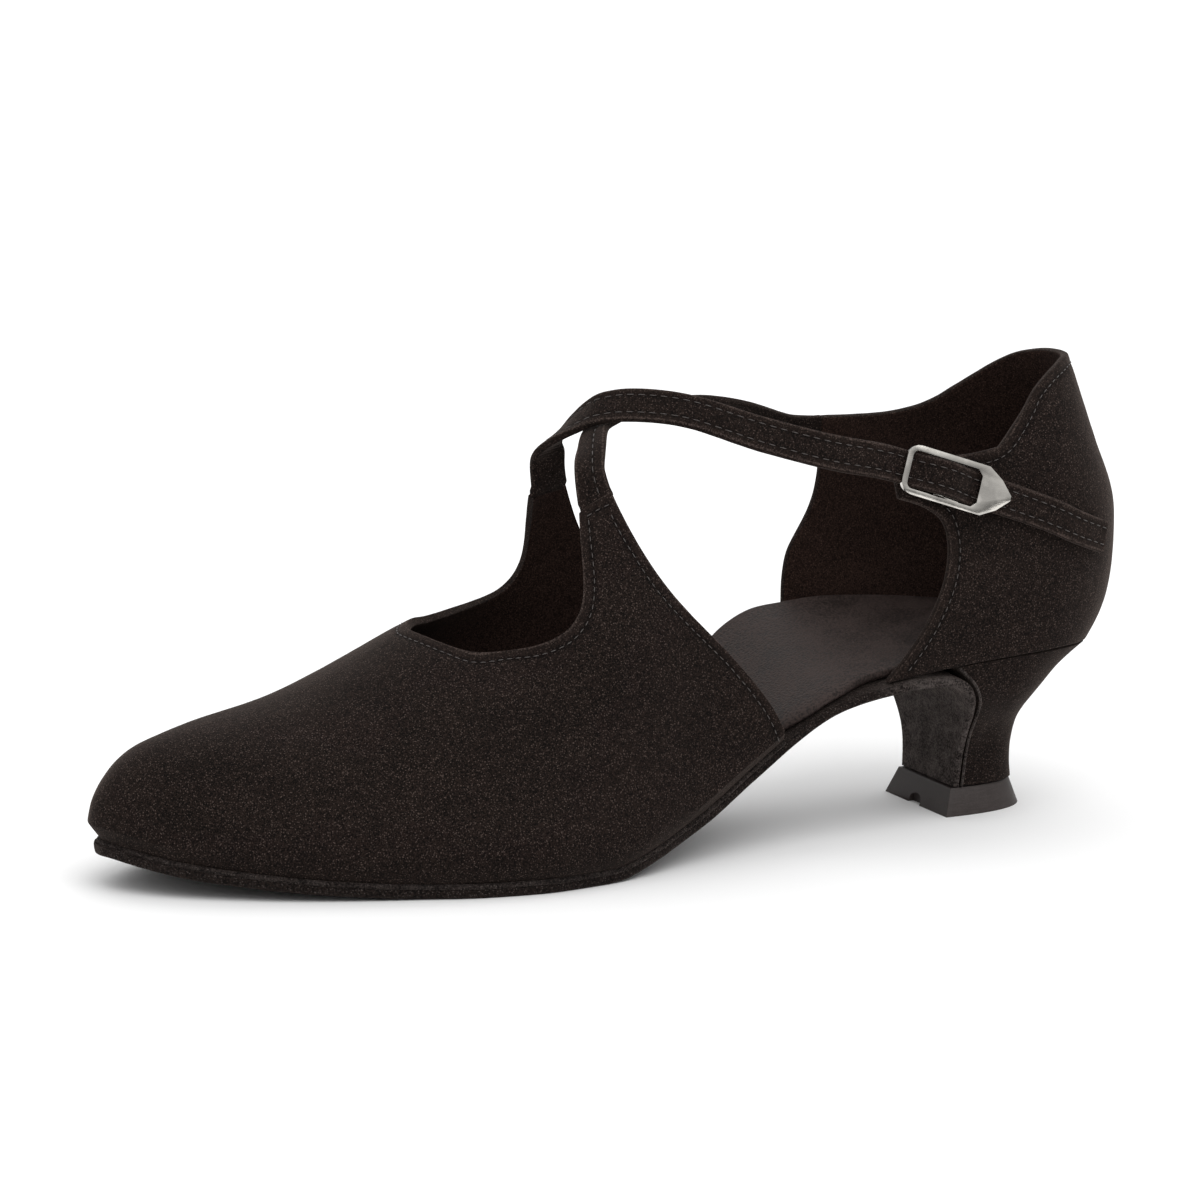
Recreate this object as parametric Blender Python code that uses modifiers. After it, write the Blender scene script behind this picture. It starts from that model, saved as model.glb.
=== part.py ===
"""Left ballroom dance shoe: closed toe, open waist, two crossed instep straps, low covered heel.

Sizes are in metres. The toe points along -X, the heel along +X, the outer (lateral) side faces -Y.
The origin is the centre of the top lift's underside, on the floor.
"""

import math
from typing import NamedTuple

import bmesh
import bpy
from mathutils import Matrix, Vector

# Driving sizes of the last and of the upper
LAST_LENGTH = 0.2375
BALL_WIDTH = 0.0830
SEAT_BACK = 0.0275
SEAT_LENGTH = 0.0255
SEAT_HEIGHT = 0.0370
INSTEP_HEIGHT = 0.0980
COUNTER_HEIGHT = 0.0670
COUNTER_BULGE = 0.0078
SIDE_BULGE = 0.0020
TOE_BULGE = 0.0037
TOE_BULGE_HEIGHT = 0.0068
TOE_ROUND = 0.0600
TOE_CAP_ROUND = 0.0118
THROAT_LENGTH = 0.0152
THROAT_LATERAL_POWER = 1.75
THROAT_MEDIAL_POWER = 1.4
WALL = 0.0020

# Driving sizes of the bottom
SOLE_THICKNESS = 0.0023
WAIST_THICKNESS = 0.0025
SOLE_EDGE = 0.0010
SOLE_TIP = 0.0019
SOLE_CHAMFER = 0.0006
FLAP_THICKNESS = 0.0016
INSOLE_THICKNESS = 0.0032
ARCH_PAD = 0.0042
HEEL_NECK_WIDTH = 0.0250
LIFT_HEIGHT = 0.0062
LIFT_LENGTH = 0.0246
LIFT_WIDTH = 0.0298
LIFT_FLARE = 0.0023

# Driving sizes of the straps and the buckle
STRAP_WIDTH = 0.0087
TAIL_WIDTH = 0.0076
CROSS_WIDTH = 0.0066
STRAP_THICKNESS = 0.0018
STRAP_CHAMFER = 0.0004
BUCKLE_LENGTH = 0.0200
BUCKLE_TIP = 0.0065
BUCKLE_BAND = 0.0013
BUCKLE_PLAY = 0.0012
BUCKLE_THICKNESS = 0.0012
BAR_DIAMETER = 0.0011
PRONG_DIAMETER = 0.0008
KEEPER_WIDTH = 0.0062
KEEPER_THICKNESS = 0.0005

# Clearance between pieces that meet
GAP = 0.0003

# Mesh fineness
TOE_FAN_STEPS = 22
WING_STEPS = 11
VAMP_ROWS = 11
ROW_SPREAD = 1.3
QUARTER_STEPS = 38
QUARTER_ROWS = 11
HEEL_ARC_STEPS = 26
SOLE_STEPS = 58


class Station(NamedTuple):
    """One section of the last: shares of the length, the ball width and the instep height."""
    along: float
    lateral: float
    medial: float
    swing: float
    crest: float
    squareness: float


STATIONS = (
    Station(0.00, 0.412, 0.415, 0.060, 0.296, 2.30),
    Station(0.05, 0.412, 0.415, 0.054, 0.322, 2.30),
    Station(0.10, 0.412, 0.415, 0.048, 0.355, 2.25),
    Station(0.17, 0.415, 0.415, 0.037, 0.390, 2.20),
    Station(0.24, 0.432, 0.425, 0.026, 0.460, 2.10),
    Station(0.29, 0.474, 0.448, 0.018, 0.526, 1.95),
    Station(0.36, 0.497, 0.455, 0.010, 0.613, 1.78),
    Station(0.42, 0.470, 0.428, 0.004, 0.800, 1.85),
    Station(0.47, 0.436, 0.380, 0.000, 0.950, 1.95),
    Station(0.53, 0.378, 0.313, 0.000, 1.035, 2.00),
    Station(0.61, 0.330, 0.271, 0.000, 1.080, 2.00),
    Station(0.70, 0.303, 0.261, 0.000, 1.090, 2.00),
    Station(0.78, 0.308, 0.278, 0.000, 1.100, 2.00),
    Station(0.88, 0.325, 0.312, 0.000, 1.100, 2.00),
    Station(1.00, 0.328, 0.317, 0.000, 1.100, 2.00),
)


class Ground(NamedTuple):
    """Underside of the sole along the centre: rise as a share of the seat height, and its twist."""
    along: float
    rise: float
    twist: float


GROUND = (
    Ground(0, 0.205, 0),
    Ground(0.03, 0.155, 0),
    Ground(0.063, 0.114, 0),
    Ground(0.101, 0.083, 0),
    Ground(0.138, 0.054, 0),
    Ground(0.175, 0.032, 0),
    Ground(0.215, 0.014, 0),
    Ground(0.26, 0.003, 0),
    Ground(0.3, 0, 0),
    Ground(0.432, 0, 0),
    Ground(0.47, 0.07, 0.005),
    Ground(0.507, 0.168, 0.02),
    Ground(0.545, 0.29, 0.04),
    Ground(0.579, 0.44, 0.06),
    Ground(0.612, 0.584, 0.08),
    Ground(0.65, 0.748, 0.1),
    Ground(0.694, 0.896, 0.12),
    Ground(0.746, 0.955, 0.11),
    Ground(0.8, 0.978, 0.07),
    Ground(0.885, 1.0, 0.02),
    Ground(0.935, 1.0, 0),
    Ground(1.0, 0.968, 0),
)
WAIST_START = 0.42
WAIST_END = 0.60


class Edge(NamedTuple):
    """A point of a cut edge: share of the last's length and share of the instep height."""
    along: float
    height: float


LATERAL_REAR = (
    Edge(0.63, 0.3),
    Edge(0.612, 0.385),
    Edge(0.581, 0.48),
    Edge(0.551, 0.55),
    Edge(0.53, 0.595),
    Edge(0.507, 0.652),
    Edge(0.4885, 0.723),
    Edge(0.4765, 0.787),
    Edge(0.4708, 0.845),
)
MEDIAL_REAR = (
    Edge(0.63, 0.3),
    Edge(0.612, 0.385),
    Edge(0.581, 0.48),
    Edge(0.55, 0.556),
    Edge(0.5225, 0.64),
    Edge(0.5025, 0.725),
    Edge(0.4855, 0.812),
)
LATERAL_RIM = (
    LATERAL_REAR[-1],
    Edge(0.4425, 0.804),
    Edge(0.4365, 0.74),
    Edge(0.4322, 0.67),
    Edge(0.4262, 0.61),
    Edge(0.4145, 0.566),
    Edge(0.3925, 0.529),
    Edge(0.36, 0.51),
)
MEDIAL_RIM = (
    MEDIAL_REAR[-1],
    Edge(0.4435, 0.8),
    Edge(0.452, 0.72),
    Edge(0.4555, 0.655),
    Edge(0.453, 0.603),
    Edge(0.44, 0.56),
    Edge(0.414, 0.534),
    Edge(0.36, 0.531),
)
PEAK_SHARE = 0.25
FAN_STATION = 0.36


class Wall(NamedTuple):
    """Quarter wall: height share above the seat, bulge shares at the back and at the sides."""
    height: float
    back: float
    side: float


QUARTER_WALL = (
    Wall(0.00, 0.00, 0.00),
    Wall(0.08, 0.52, 0.45),
    Wall(0.20, 0.85, 0.90),
    Wall(0.33, 0.96, 1.00),
    Wall(0.47, 1.00, 0.60),
    Wall(0.56, 0.80, 0.10),
    Wall(0.66, 0.42, -0.60),
    Wall(0.80, 0.01, -1.90),
    Wall(0.95, -0.42, -3.60),
    Wall(1.04, -0.66, -4.60),
)


class Top(NamedTuple):
    """Topline of the quarter: turn in degrees around the heel, height share above the seat."""
    turn: float
    height: float


TOPLINE = (
    Top(-111.0, 0.745),
    Top(-104.0, 0.735),
    Top(-97.0, 0.726),
    Top(-94.6, 0.75),
    Top(-92.4, 0.792),
    Top(-90.8, 0.834),
    Top(-86.5, 0.892),
    Top(-76.0, 0.95),
    Top(-60.0, 0.995),
    Top(-38.0, 1.018),
    Top(0.0, 1.014),
    Top(33.0, 0.99),
    Top(51.0, 0.95),
    Top(71.0, 0.877),
    Top(89.0, 0.806),
    Top(96.0, 0.775),
    Top(104.0, 0.783),
    Top(110.0, 0.79),
)
QUARTER_LATERAL_FRONT = (
    Edge(0.742, 0.33),
    Edge(0.7585, 0.379),
    Edge(0.7745, 0.435),
    Edge(0.7875, 0.494),
    Edge(0.7985, 0.562),
    Edge(0.804, 0.63),
    Edge(0.8035, 0.69),
    Edge(0.7976, 0.73),
    Edge(0.783, 0.756),
    Edge(0.7695, 0.771),
    Edge(0.7545, 0.783),
    Edge(0.751, 0.885),
)
QUARTER_MEDIAL_FRONT = (
    Edge(0.729, 0.4),
    Edge(0.7305, 0.47),
    Edge(0.7345, 0.556),
    Edge(0.742, 0.603),
    Edge(0.7545, 0.647),
    Edge(0.766, 0.7),
    Edge(0.7705, 0.762),
    Edge(0.77, 0.825),
    Edge(0.764, 0.924),
)
SIDE_LENGTH = 0.0900


class FlapRow(NamedTuple):
    """Sole face turning down the heel breast: place and half width as shares of the seat's sizes."""
    forward: float
    height: float
    lateral: float
    medial: float
    lean: float


FLAP = (
    FlapRow(-0.94, 0.952, 0.950, 0.870, 90.0),
    FlapRow(-0.70, 0.935, 0.935, 0.900, 98.0),
    FlapRow(-0.57, 0.870, 0.905, 0.870, 128.0),
    FlapRow(-0.485, 0.770, 0.850, 0.800, 155.0),
    FlapRow(-0.440, 0.640, 0.700, 0.720, 170.0),
    FlapRow(-0.420, 0.500, 0.550, 0.585, 177.0),
    FlapRow(-0.425, 0.340, 0.485, 0.510, 182.0),
    FlapRow(-0.445, 0.176, 0.472, 0.490, 186.0),
)


class HeelRow(NamedTuple):
    """Heel block: share of its height, share of the way from the neck to the seat."""
    height: float
    back: float
    side: float


HEEL = (
    HeelRow(0.0, 0.02, 0.03),
    HeelRow(0.1, 0.0, 0.005),
    HeelRow(0.2, 0.0, 0.0),
    HeelRow(0.3, 0.015, 0.03),
    HeelRow(0.42, 0.045, 0.16),
    HeelRow(0.52, 0.095, 0.36),
    HeelRow(0.62, 0.18, 0.57),
    HeelRow(0.73, 0.34, 0.75),
    HeelRow(0.86, 0.57, 0.89),
    HeelRow(1.0, 1.0, 1.0),
)
NECK_BACK_SHARE = 0.364


class StrapRow(NamedTuple):
    """Free strap: shares of the length, half ball width and instep height, roll and yaw degrees."""
    along: float
    side: float
    height: float
    roll: float
    yaw: float


INSTEP_STRAP = (
    StrapRow(0.462, 0.308, 0.867, 150.0, -8.0),
    StrapRow(0.4615, 0.241, 0.914, 122.0, -24.0),
    StrapRow(0.4836, 0.145, 0.972, 85.0, -40.0),
    StrapRow(0.4975, 0.048, 1.0, 58.0, -34.0),
    StrapRow(0.5276, -0.036, 1.008, 43.0, -22.0),
    StrapRow(0.5693, -0.193, 0.996, 38.0, -12.0),
    StrapRow(0.6257, -0.386, 0.948, 28.0, -4.0),
    StrapRow(0.6865, -0.52, 0.905, 18.0, 0.0),
)
CROSS_STRAP = (
    StrapRow(0.4594, -0.265, 0.885, 27.0, -20.0),
    StrapRow(0.4733, -0.12, 0.9245, 66.0, -36.0),
    StrapRow(0.4905, 0.042, 0.9495, 78.0, -38.0),
    StrapRow(0.5116, 0.133, 0.965, 89.0, -25.0),
    StrapRow(0.5389, 0.193, 0.978, 97.0, -11.0),
    StrapRow(0.6, 0.217, 0.99, 110.0, 0.0),
    StrapRow(0.6656, 0.34, 0.946, 138.0, 0.0),
    StrapRow(0.725, 0.45, 0.892, 156.0, 0.0),
)


class TailRow(NamedTuple):
    """Buckled end of the instep strap on the quarter: turn in degrees and height share."""
    turn: float
    height: float


TAIL = (
    TailRow(-113.0, 0.720),
    TailRow(-104.6, 0.655),
    TailRow(-95.5, 0.585),
    TailRow(-84.0, 0.515),
    TailRow(-70.0, 0.460),
    TailRow(-54.0, 0.412),
)
BUCKLE_ROW = 1

# Colours, roughness and metallic value of the materials
SUEDE = ((0.016, 0.013, 0.012), 0.95, 0.0)
SOCK = ((0.030, 0.027, 0.027), 0.55, 0.0)
SOLE_SUEDE = ((0.022, 0.018, 0.017), 0.95, 0.0)
LIFT_PLASTIC = ((0.040, 0.036, 0.035), 0.45, 0.0)
NICKEL = ((0.75, 0.74, 0.72), 0.15, 1.0)

LATERAL = -1
MEDIAL = 1


def clear_scene() -> None:
    """Remove every object of the scene that is open."""
    for item in list(bpy.data.objects):
        bpy.data.objects.remove(item, do_unlink=True)


def smooth(rows, column: int, x: float, key: int = 0) -> float:
    """Read one column of a table at x, by a cubic that never overshoots its rows."""
    xs = [row[key] for row in rows]
    ys = [row[column] for row in rows]
    if xs[0] > xs[-1]:
        xs.reverse()
        ys.reverse()
    if x <= xs[0]:
        return ys[0]
    if x >= xs[-1]:
        return ys[-1]
    slopes = [(b - a) / (d - c) for a, b, c, d in zip(ys, ys[1:], xs, xs[1:])]
    tangents = [slopes[0]]
    for left, right in zip(slopes, slopes[1:]):
        tangents.append(0.0 if left * right <= 0.0 else 2.0 * left * right / (left + right))
    tangents.append(slopes[-1])
    i = max(k for k in range(len(xs) - 1) if xs[k] <= x)
    step = xs[i + 1] - xs[i]
    t = (x - xs[i]) / step
    rise = (1.0 + 2.0 * t) * (1.0 - t) ** 2 * ys[i] + t * t * (3.0 - 2.0 * t) * ys[i + 1]
    return rise + step * t * (1.0 - t) * ((1.0 - t) * tangents[i] - t * tangents[i + 1])


def blend(low: float, high: float, x: float) -> float:
    """Soft step from 0 below low to 1 above high."""
    t = min(max((x - low) / (high - low), 0.0), 1.0)
    return t * t * (3.0 - 2.0 * t)


def mix(a, b, t: float):
    """Straight mix of two numbers or vectors."""
    return a + (b - a) * t


TOE_X = SEAT_BACK - LAST_LENGTH
SEAT_START = SEAT_BACK - SEAT_LENGTH


def station_x(along: float) -> float:
    """X of a station given by its share of the last's length."""
    return TOE_X + along * LAST_LENGTH


def share_of(x: float) -> float:
    """Share of the last's length at X."""
    return (x - TOE_X) / LAST_LENGTH


def swing(x: float) -> float:
    """Y of the last's curved centre line."""
    return BALL_WIDTH * smooth(STATIONS, 3, share_of(x))


def outline(x: float, side: int, grow: float = 0.0) -> float:
    """Y of the outline at X, grown outwards all round by grow, on one side."""
    width = BALL_WIDTH * smooth(STATIONS, 1 if side == LATERAL else 2, share_of(x)) + grow
    nose = min(max((x - TOE_X + grow) / TOE_ROUND, 0.0), 1.0)
    tail = min(max((x - SEAT_START) / (SEAT_LENGTH + grow), 0.0), 1.0)
    rounding = (1.0 - (1.0 - nose) ** 1.6) ** 0.625 * (1.0 - tail ** 2.1) ** (1.0 / 2.1)
    return swing(x) + side * width * rounding


def ground(x: float, y: float) -> float:
    """Z of the sole's underside."""
    along = share_of(x)
    return SEAT_HEIGHT * smooth(GROUND, 1, along) + smooth(GROUND, 2, along) * y


def sole_top(x: float, y: float) -> float:
    """Z of the sole's upper face."""
    thin = blend(WAIST_START, WAIST_END, share_of(x))
    return ground(x, y) + mix(SOLE_THICKNESS, WAIST_THICKNESS, thin)


def feather(x: float, y: float) -> float:
    """Z of the line where the upper meets the sole."""
    return sole_top(x, y) + GAP


def crest(x: float) -> float:
    """Z of the last's top, rolled down at the toe."""
    top = INSTEP_HEIGHT * smooth(STATIONS, 4, share_of(x))
    base = feather(x, 0.0)
    reach = min(max((x - TOE_X) / TOE_CAP_ROUND, 0.0), 1.0)
    return base + (top - base) * (1.0 - (1.0 - reach) ** 2.2) ** (1.0 / 2.2)


def squareness(x: float) -> float:
    """Exponent of the section at X."""
    return smooth(STATIONS, 5, share_of(x))


def pushed(point: Vector, outward: Vector, above: float) -> Vector:
    """Move a point of the upper outwards by the soft bulge above the feather line."""
    level = above / TOE_BULGE_HEIGHT
    return point + outward * (TOE_BULGE * level * math.exp(1.0 - level))


def side_point(x: float, angle: float, side: int) -> Vector:
    """Point of the vamp's outer face on the section at X; angle 0 is the feather line."""
    power = 2.0 / squareness(x)
    edge = outline(x, side)
    base = feather(x, edge)
    above = (crest(x) - base) * math.sin(angle) ** power
    y = swing(x) + math.cos(angle) ** power * (edge - swing(x))
    return pushed(Vector((x, y, base + above)), Vector((0.0, side, 0.0)), above)


def side_angle(x: float, z: float, side: int) -> float:
    """Angle on the section at X where the vamp's face reaches the height z."""
    base = feather(x, outline(x, side))
    share = min(max((z - base) / (crest(x) - base), 0.0), 0.999)
    return math.asin(share ** (squareness(x) / 2.0))


def fan_point(foot: Vector, hub: Vector, angle: float) -> Vector:
    """Point of the toe's outer face above the line from the hub to a foot on the outline."""
    reach = math.cos(angle) ** (2.0 / squareness(hub.x))
    place = hub + (foot - hub) * reach
    base = feather(place.x, 0.0)
    half = outline(place.x, LATERAL if place.y < swing(place.x) else MEDIAL) - swing(place.x)
    across = min(abs((place.y - swing(place.x)) / half), 1.0) if abs(half) > 1e-9 else 1.0
    power = squareness(place.x)
    above = (crest(place.x) - base) * max(1.0 - across ** power, 0.0) ** (1.0 / power)
    return pushed(Vector((place.x, place.y, base + above)), (foot - hub).normalized(), above)


def fan_foot(hub: Vector, share: float) -> Vector:
    """Foot of a toe rib on the outline: share -1 beside the hub laterally, 0 the toe, 1 medially."""
    side = LATERAL if share < 0.0 else MEDIAL
    x = mix(TOE_X, hub.x, abs(share) ** 2.0)
    return Vector((x, outline(x, side), 0.0))


def coons(s: float, t: float, bottom, top, left, right) -> Vector:
    """Fill a four-sided patch from its four edge functions, all in one parameter plane."""
    ruled = mix(bottom(s), top(s), t) + mix(left(t), right(t), s)
    corners = mix(mix(bottom(0.0), bottom(1.0), s), mix(top(0.0), top(1.0), s), t)
    return ruled - corners


def passing(before, a, b, after, t: float):
    """Curve through four points, at the share t of the way from a to b."""
    hold = (2.0 * t ** 3 - 3.0 * t ** 2 + 1.0) * a + (3.0 * t ** 2 - 2.0 * t ** 3) * b
    leans = (t ** 3 - 2.0 * t ** 2 + t) * (b - before) + (t ** 3 - t ** 2) * (after - a)
    return hold + leans * 0.5


def edge_at(rows, t: float) -> Vector:
    """Point (X, Z) of a cut edge at the share t of its rows."""
    last = len(rows) - 1
    i = min(int(t * last), last - 1)
    points = [Vector(rows[min(max(k, 0), last)][:2]) for k in (i - 1, i, i + 1, i + 2)]
    spot = passing(*points, t * last - i)
    return Vector((station_x(spot.x), INSTEP_HEIGHT * spot.y))


def rim_at(s: float, side: int) -> Vector:
    """Point (X, Z) of the vamp's upper edge: straight across the peak, then along the throat."""
    rows = LATERAL_RIM if side == LATERAL else MEDIAL_RIM
    if s < PEAK_SHARE:
        return edge_at(rows[:2], s / PEAK_SHARE)
    return edge_at(rows[1:], (s - PEAK_SHARE) / (1.0 - PEAK_SHARE))


def wing_grid(side: int) -> list:
    """Rows of points of the vamp's wing, from its rear edge forward to the throat."""
    rows = LATERAL_REAR if side == LATERAL else MEDIAL_REAR
    rear_x = station_x(rows[0].along)
    front_x = station_x(FAN_STATION)

    def flat(spot: Vector) -> Vector:
        return Vector((spot.x, side_angle(spot.x, spot.y, side)))

    def bottom(s: float) -> Vector:
        return Vector((mix(rear_x, front_x, s), 0.0))

    def top(s: float) -> Vector:
        return flat(rim_at(s, side))

    def rear(t: float) -> Vector:
        spot = flat(edge_at(rows, t))
        first = flat(edge_at(rows, 0.0))
        return Vector((spot.x, spot.y - first.y * (1.0 - t)))

    def front(t: float) -> Vector:
        return Vector((front_x, top(1.0).y * t))

    grid = []
    for i in range(VAMP_ROWS + 1):
        rise = (i / VAMP_ROWS) ** ROW_SPREAD
        spots = (coons(j / WING_STEPS, rise, bottom, top, rear, front)
                 for j in range(WING_STEPS + 1))
        grid.append([side_point(spot.x, max(spot.y, 0.0), side) for spot in spots])
    return grid


def throat_angle(hub: Vector, foot: Vector, half: float) -> float:
    """Angle at which a toe rib stops at the throat's rounded front."""
    ray = foot - hub
    power = THROAT_LATERAL_POWER if ray.y < 0.0 else THROAT_MEDIAL_POWER
    radius = (abs(ray.x / THROAT_LENGTH) ** power + abs(ray.y / half) ** power) ** (-1.0 / power)
    return math.acos(radius ** (squareness(hub.x) / 2.0))


def vamp_grid() -> list:
    """Rows of points of the whole vamp, from the lateral rear edge round the toe to the medial."""
    lateral = wing_grid(LATERAL)
    medial = wing_grid(MEDIAL)
    hub = Vector((station_x(FAN_STATION), swing(station_x(FAN_STATION)), 0.0))
    grid = [list(row) for row in lateral]
    for j in range(1, TOE_FAN_STEPS):
        share = mix(-1.0, 1.0, j / TOE_FAN_STEPS)
        foot = fan_foot(hub, share)
        half = hub.y - lateral[-1][-1].y if foot.y < hub.y else medial[-1][-1].y - hub.y
        stop = throat_angle(hub, foot, half)
        for i in range(VAMP_ROWS + 1):
            grid[i].append(fan_point(foot, hub, stop * (i / VAMP_ROWS) ** ROW_SPREAD))
    for i, row in enumerate(medial):
        grid[i].extend(reversed(row))
    return grid


def quarter_x(turn: float) -> float:
    """X of the heel outline at a turn in degrees; 0 is the back, beyond 90 the straight sides."""
    if abs(turn) <= 90.0:
        return SEAT_START + SEAT_LENGTH * math.cos(math.radians(turn))
    return SEAT_START - SIDE_LENGTH * math.sin(math.radians(abs(turn) - 90.0))


def quarter_turn(x: float, side: int) -> float:
    """Turn in degrees at which the straight side reaches X."""
    return side * (90.0 + math.degrees(math.asin((SEAT_START - x) / SIDE_LENGTH)))


def quarter_point(turn: float, z: float) -> Vector:
    """Point of the quarter's outer face at a turn and a height."""
    side = MEDIAL if turn > 0.0 else LATERAL
    x = quarter_x(turn)
    y = outline(x, side)
    level = max(z - feather(x, y), 0.0) / COUNTER_HEIGHT
    angle = math.radians(min(abs(turn), 90.0))
    back = COUNTER_BULGE * smooth(QUARTER_WALL, 1, level) * math.cos(angle)
    out = SIDE_BULGE * smooth(QUARTER_WALL, 2, level) * math.sin(angle)
    return Vector((x + back, y + side * out, z))


def quarter_normal(turn: float, z: float) -> Vector:
    """Outward direction of the quarter's face."""
    step = 0.5
    rise = 0.0005
    along = quarter_point(turn + step, z) - quarter_point(turn - step, z)
    up = quarter_point(turn, z + rise) - quarter_point(turn, z - rise)
    return along.cross(up).normalized()


def topline(turn: float) -> float:
    """Z of the quarter's upper edge."""
    return SEAT_HEIGHT + COUNTER_HEIGHT * smooth(TOPLINE, 1, turn)


def quarter_grid() -> list:
    """Rows of points of the quarter, from its lateral front edge round the heel to the medial."""
    first = quarter_turn(station_x(QUARTER_LATERAL_FRONT[-1].along), LATERAL)
    last = quarter_turn(station_x(QUARTER_MEDIAL_FRONT[-1].along), MEDIAL)
    start = quarter_turn(station_x(QUARTER_LATERAL_FRONT[0].along), LATERAL)
    end = quarter_turn(station_x(QUARTER_MEDIAL_FRONT[0].along), MEDIAL)

    def seat(turn: float) -> float:
        x = quarter_x(turn)
        return feather(x, outline(x, MEDIAL if turn > 0.0 else LATERAL))

    def bottom(s: float) -> Vector:
        turn = mix(start, end, s)
        return Vector((turn, seat(turn)))

    def top(s: float) -> Vector:
        turn = mix(first, last, s)
        return Vector((turn, topline(turn)))

    def front(rows, side: int, low: float, high: float):
        def read(t: float) -> Vector:
            spot = edge_at(rows, t)
            ends = edge_at(rows, 0.0).y, edge_at(rows, 1.0).y
            share = (spot.y - ends[0]) / (ends[1] - ends[0])
            return Vector((quarter_turn(spot.x, side), mix(low, high, share)))
        return read

    left = front(QUARTER_LATERAL_FRONT, LATERAL, bottom(0.0).y, top(0.0).y)
    right = front(QUARTER_MEDIAL_FRONT, MEDIAL, bottom(1.0).y, top(1.0).y)
    grid = []
    for i in range(QUARTER_ROWS + 1):
        spots = (coons(j / QUARTER_STEPS, i / QUARTER_ROWS, bottom, top, left, right)
                 for j in range(QUARTER_STEPS + 1))
        grid.append([quarter_point(spot.x, spot.y) for spot in spots])
    return grid


def new_object(name: str, mesh: bpy.types.Mesh, collection: bpy.types.Collection,
               look: tuple) -> bpy.types.Object:
    """Link a mesh as a named object with its own material."""
    item = bpy.data.objects.new(name, mesh)
    collection.objects.link(item)
    colour, rough, metal = look
    material = bpy.data.materials.new(name + "_finish")
    material.use_nodes = True
    shader = material.node_tree.nodes["Principled BSDF"]
    shader.inputs["Base Color"].default_value = (*colour, 1.0)
    shader.inputs["Roughness"].default_value = rough
    shader.inputs["Metallic"].default_value = metal
    mesh.materials.append(material)
    return item


def shell(name: str, grid: list, upward_first: bool, collection, look) -> bpy.types.Object:
    """Open surface through a grid of points, given its wall towards the inside."""
    wide = len(grid[0])
    points = [point for row in grid for point in row]
    faces = []
    for i in range(len(grid) - 1):
        for j in range(wide - 1):
            a = i * wide + j
            face = (a, a + wide, a + wide + 1, a + 1)
            faces.append(face if upward_first else face[::-1])
    mesh = bpy.data.meshes.new(name)
    mesh.from_pydata(points, [], faces)
    mesh.update()
    item = new_object(name, mesh, collection, look)
    wall = item.modifiers.new("wall", "SOLIDIFY")
    wall.thickness = WALL
    wall.offset = -1.0
    wall.use_even_offset = True
    wall.thickness_clamp = 0.0
    mesh.shade_smooth()
    return item


def skinned(name: str, rings: list, collection, look) -> bpy.types.Object:
    """Closed body through rings of equally many points, with both ends capped."""
    count = len(rings[0])
    points = [point for ring in rings for point in ring]
    faces = [tuple(range(count)), tuple((len(rings) - 1) * count + k for k in range(count))]
    for i in range(len(rings) - 1):
        for k in range(count):
            a = i * count + k
            b = i * count + (k + 1) % count
            faces.append((a, b, b + count, a + count))
    mesh = bpy.data.meshes.new(name)
    mesh.from_pydata(points, [], faces)
    close_outward(mesh)
    mesh.shade_smooth()
    mesh.set_sharp_from_angle(angle=math.radians(40.0))
    return new_object(name, mesh, collection, look)


def close_outward(mesh: bpy.types.Mesh) -> None:
    """Turn every face of a closed mesh outwards."""
    work = bmesh.new()
    work.from_mesh(mesh)
    bmesh.ops.recalc_face_normals(work, faces=work.faces)
    work.to_mesh(mesh)
    work.free()


def stations_between(first: float, last: float) -> list:
    """X of sections from first to last on one common ladder, closer together at the toe."""
    ladder = [station_x((i / SOLE_STEPS) ** 1.3) for i in range(SOLE_STEPS + 1)]
    margin = LAST_LENGTH / SOLE_STEPS / 4.0
    return [first, *(x for x in ladder if first + margin < x < last - margin), last]


def sole_ring(x: float) -> list:
    """Section of the sole: flat faces between chamfered edges, a little longer at the tip."""
    grow = mix(SOLE_TIP, SOLE_EDGE, blend(0.0, 0.10, share_of(x)))
    ring = []
    sides = ((LATERAL, 1), (MEDIAL, -1))
    for side, inward in sides:
        y = outline(x, side, grow)
        cut = min(SOLE_CHAMFER, abs(y - swing(x)) / 2.0)
        low = ground(x, y)
        high = sole_top(x, y)
        corner = [Vector((x, y, high - cut / 2.0)), Vector((x, y, low + cut)),
                  Vector((x, y + inward * cut, low))]
        ring.append((corner, Vector((x, y + inward * cut, high))))
    lateral, medial = ring
    return [lateral[1], *lateral[0], *reversed(medial[0]), medial[1]]


def flap_frame(row: FlapRow) -> tuple:
    """Face centre, inward direction, half widths, depth and tilt of one row of the flap."""
    x = SEAT_START + SEAT_LENGTH * row.forward
    z = SEAT_HEIGHT * row.height
    lean = math.radians(row.lean)
    inward = Vector((math.sin(lean - math.pi / 2.0), 0.0, math.cos(lean - math.pi / 2.0)))
    half = (HEEL_SEAT_LATERAL * row.lateral, HEEL_SEAT_MEDIAL * row.medial)
    flat = blend(155.0, 90.0, row.lean)
    depth = mix(FLAP_THICKNESS, WAIST_THICKNESS, flat)
    return Vector((x, 0.0, z)), inward, half, depth, flat * smooth(GROUND, 2, share_of(x))


HEEL_SEAT_LATERAL = BALL_WIDTH * STATIONS[-1].lateral
HEEL_SEAT_MEDIAL = BALL_WIDTH * STATIONS[-1].medial


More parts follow.
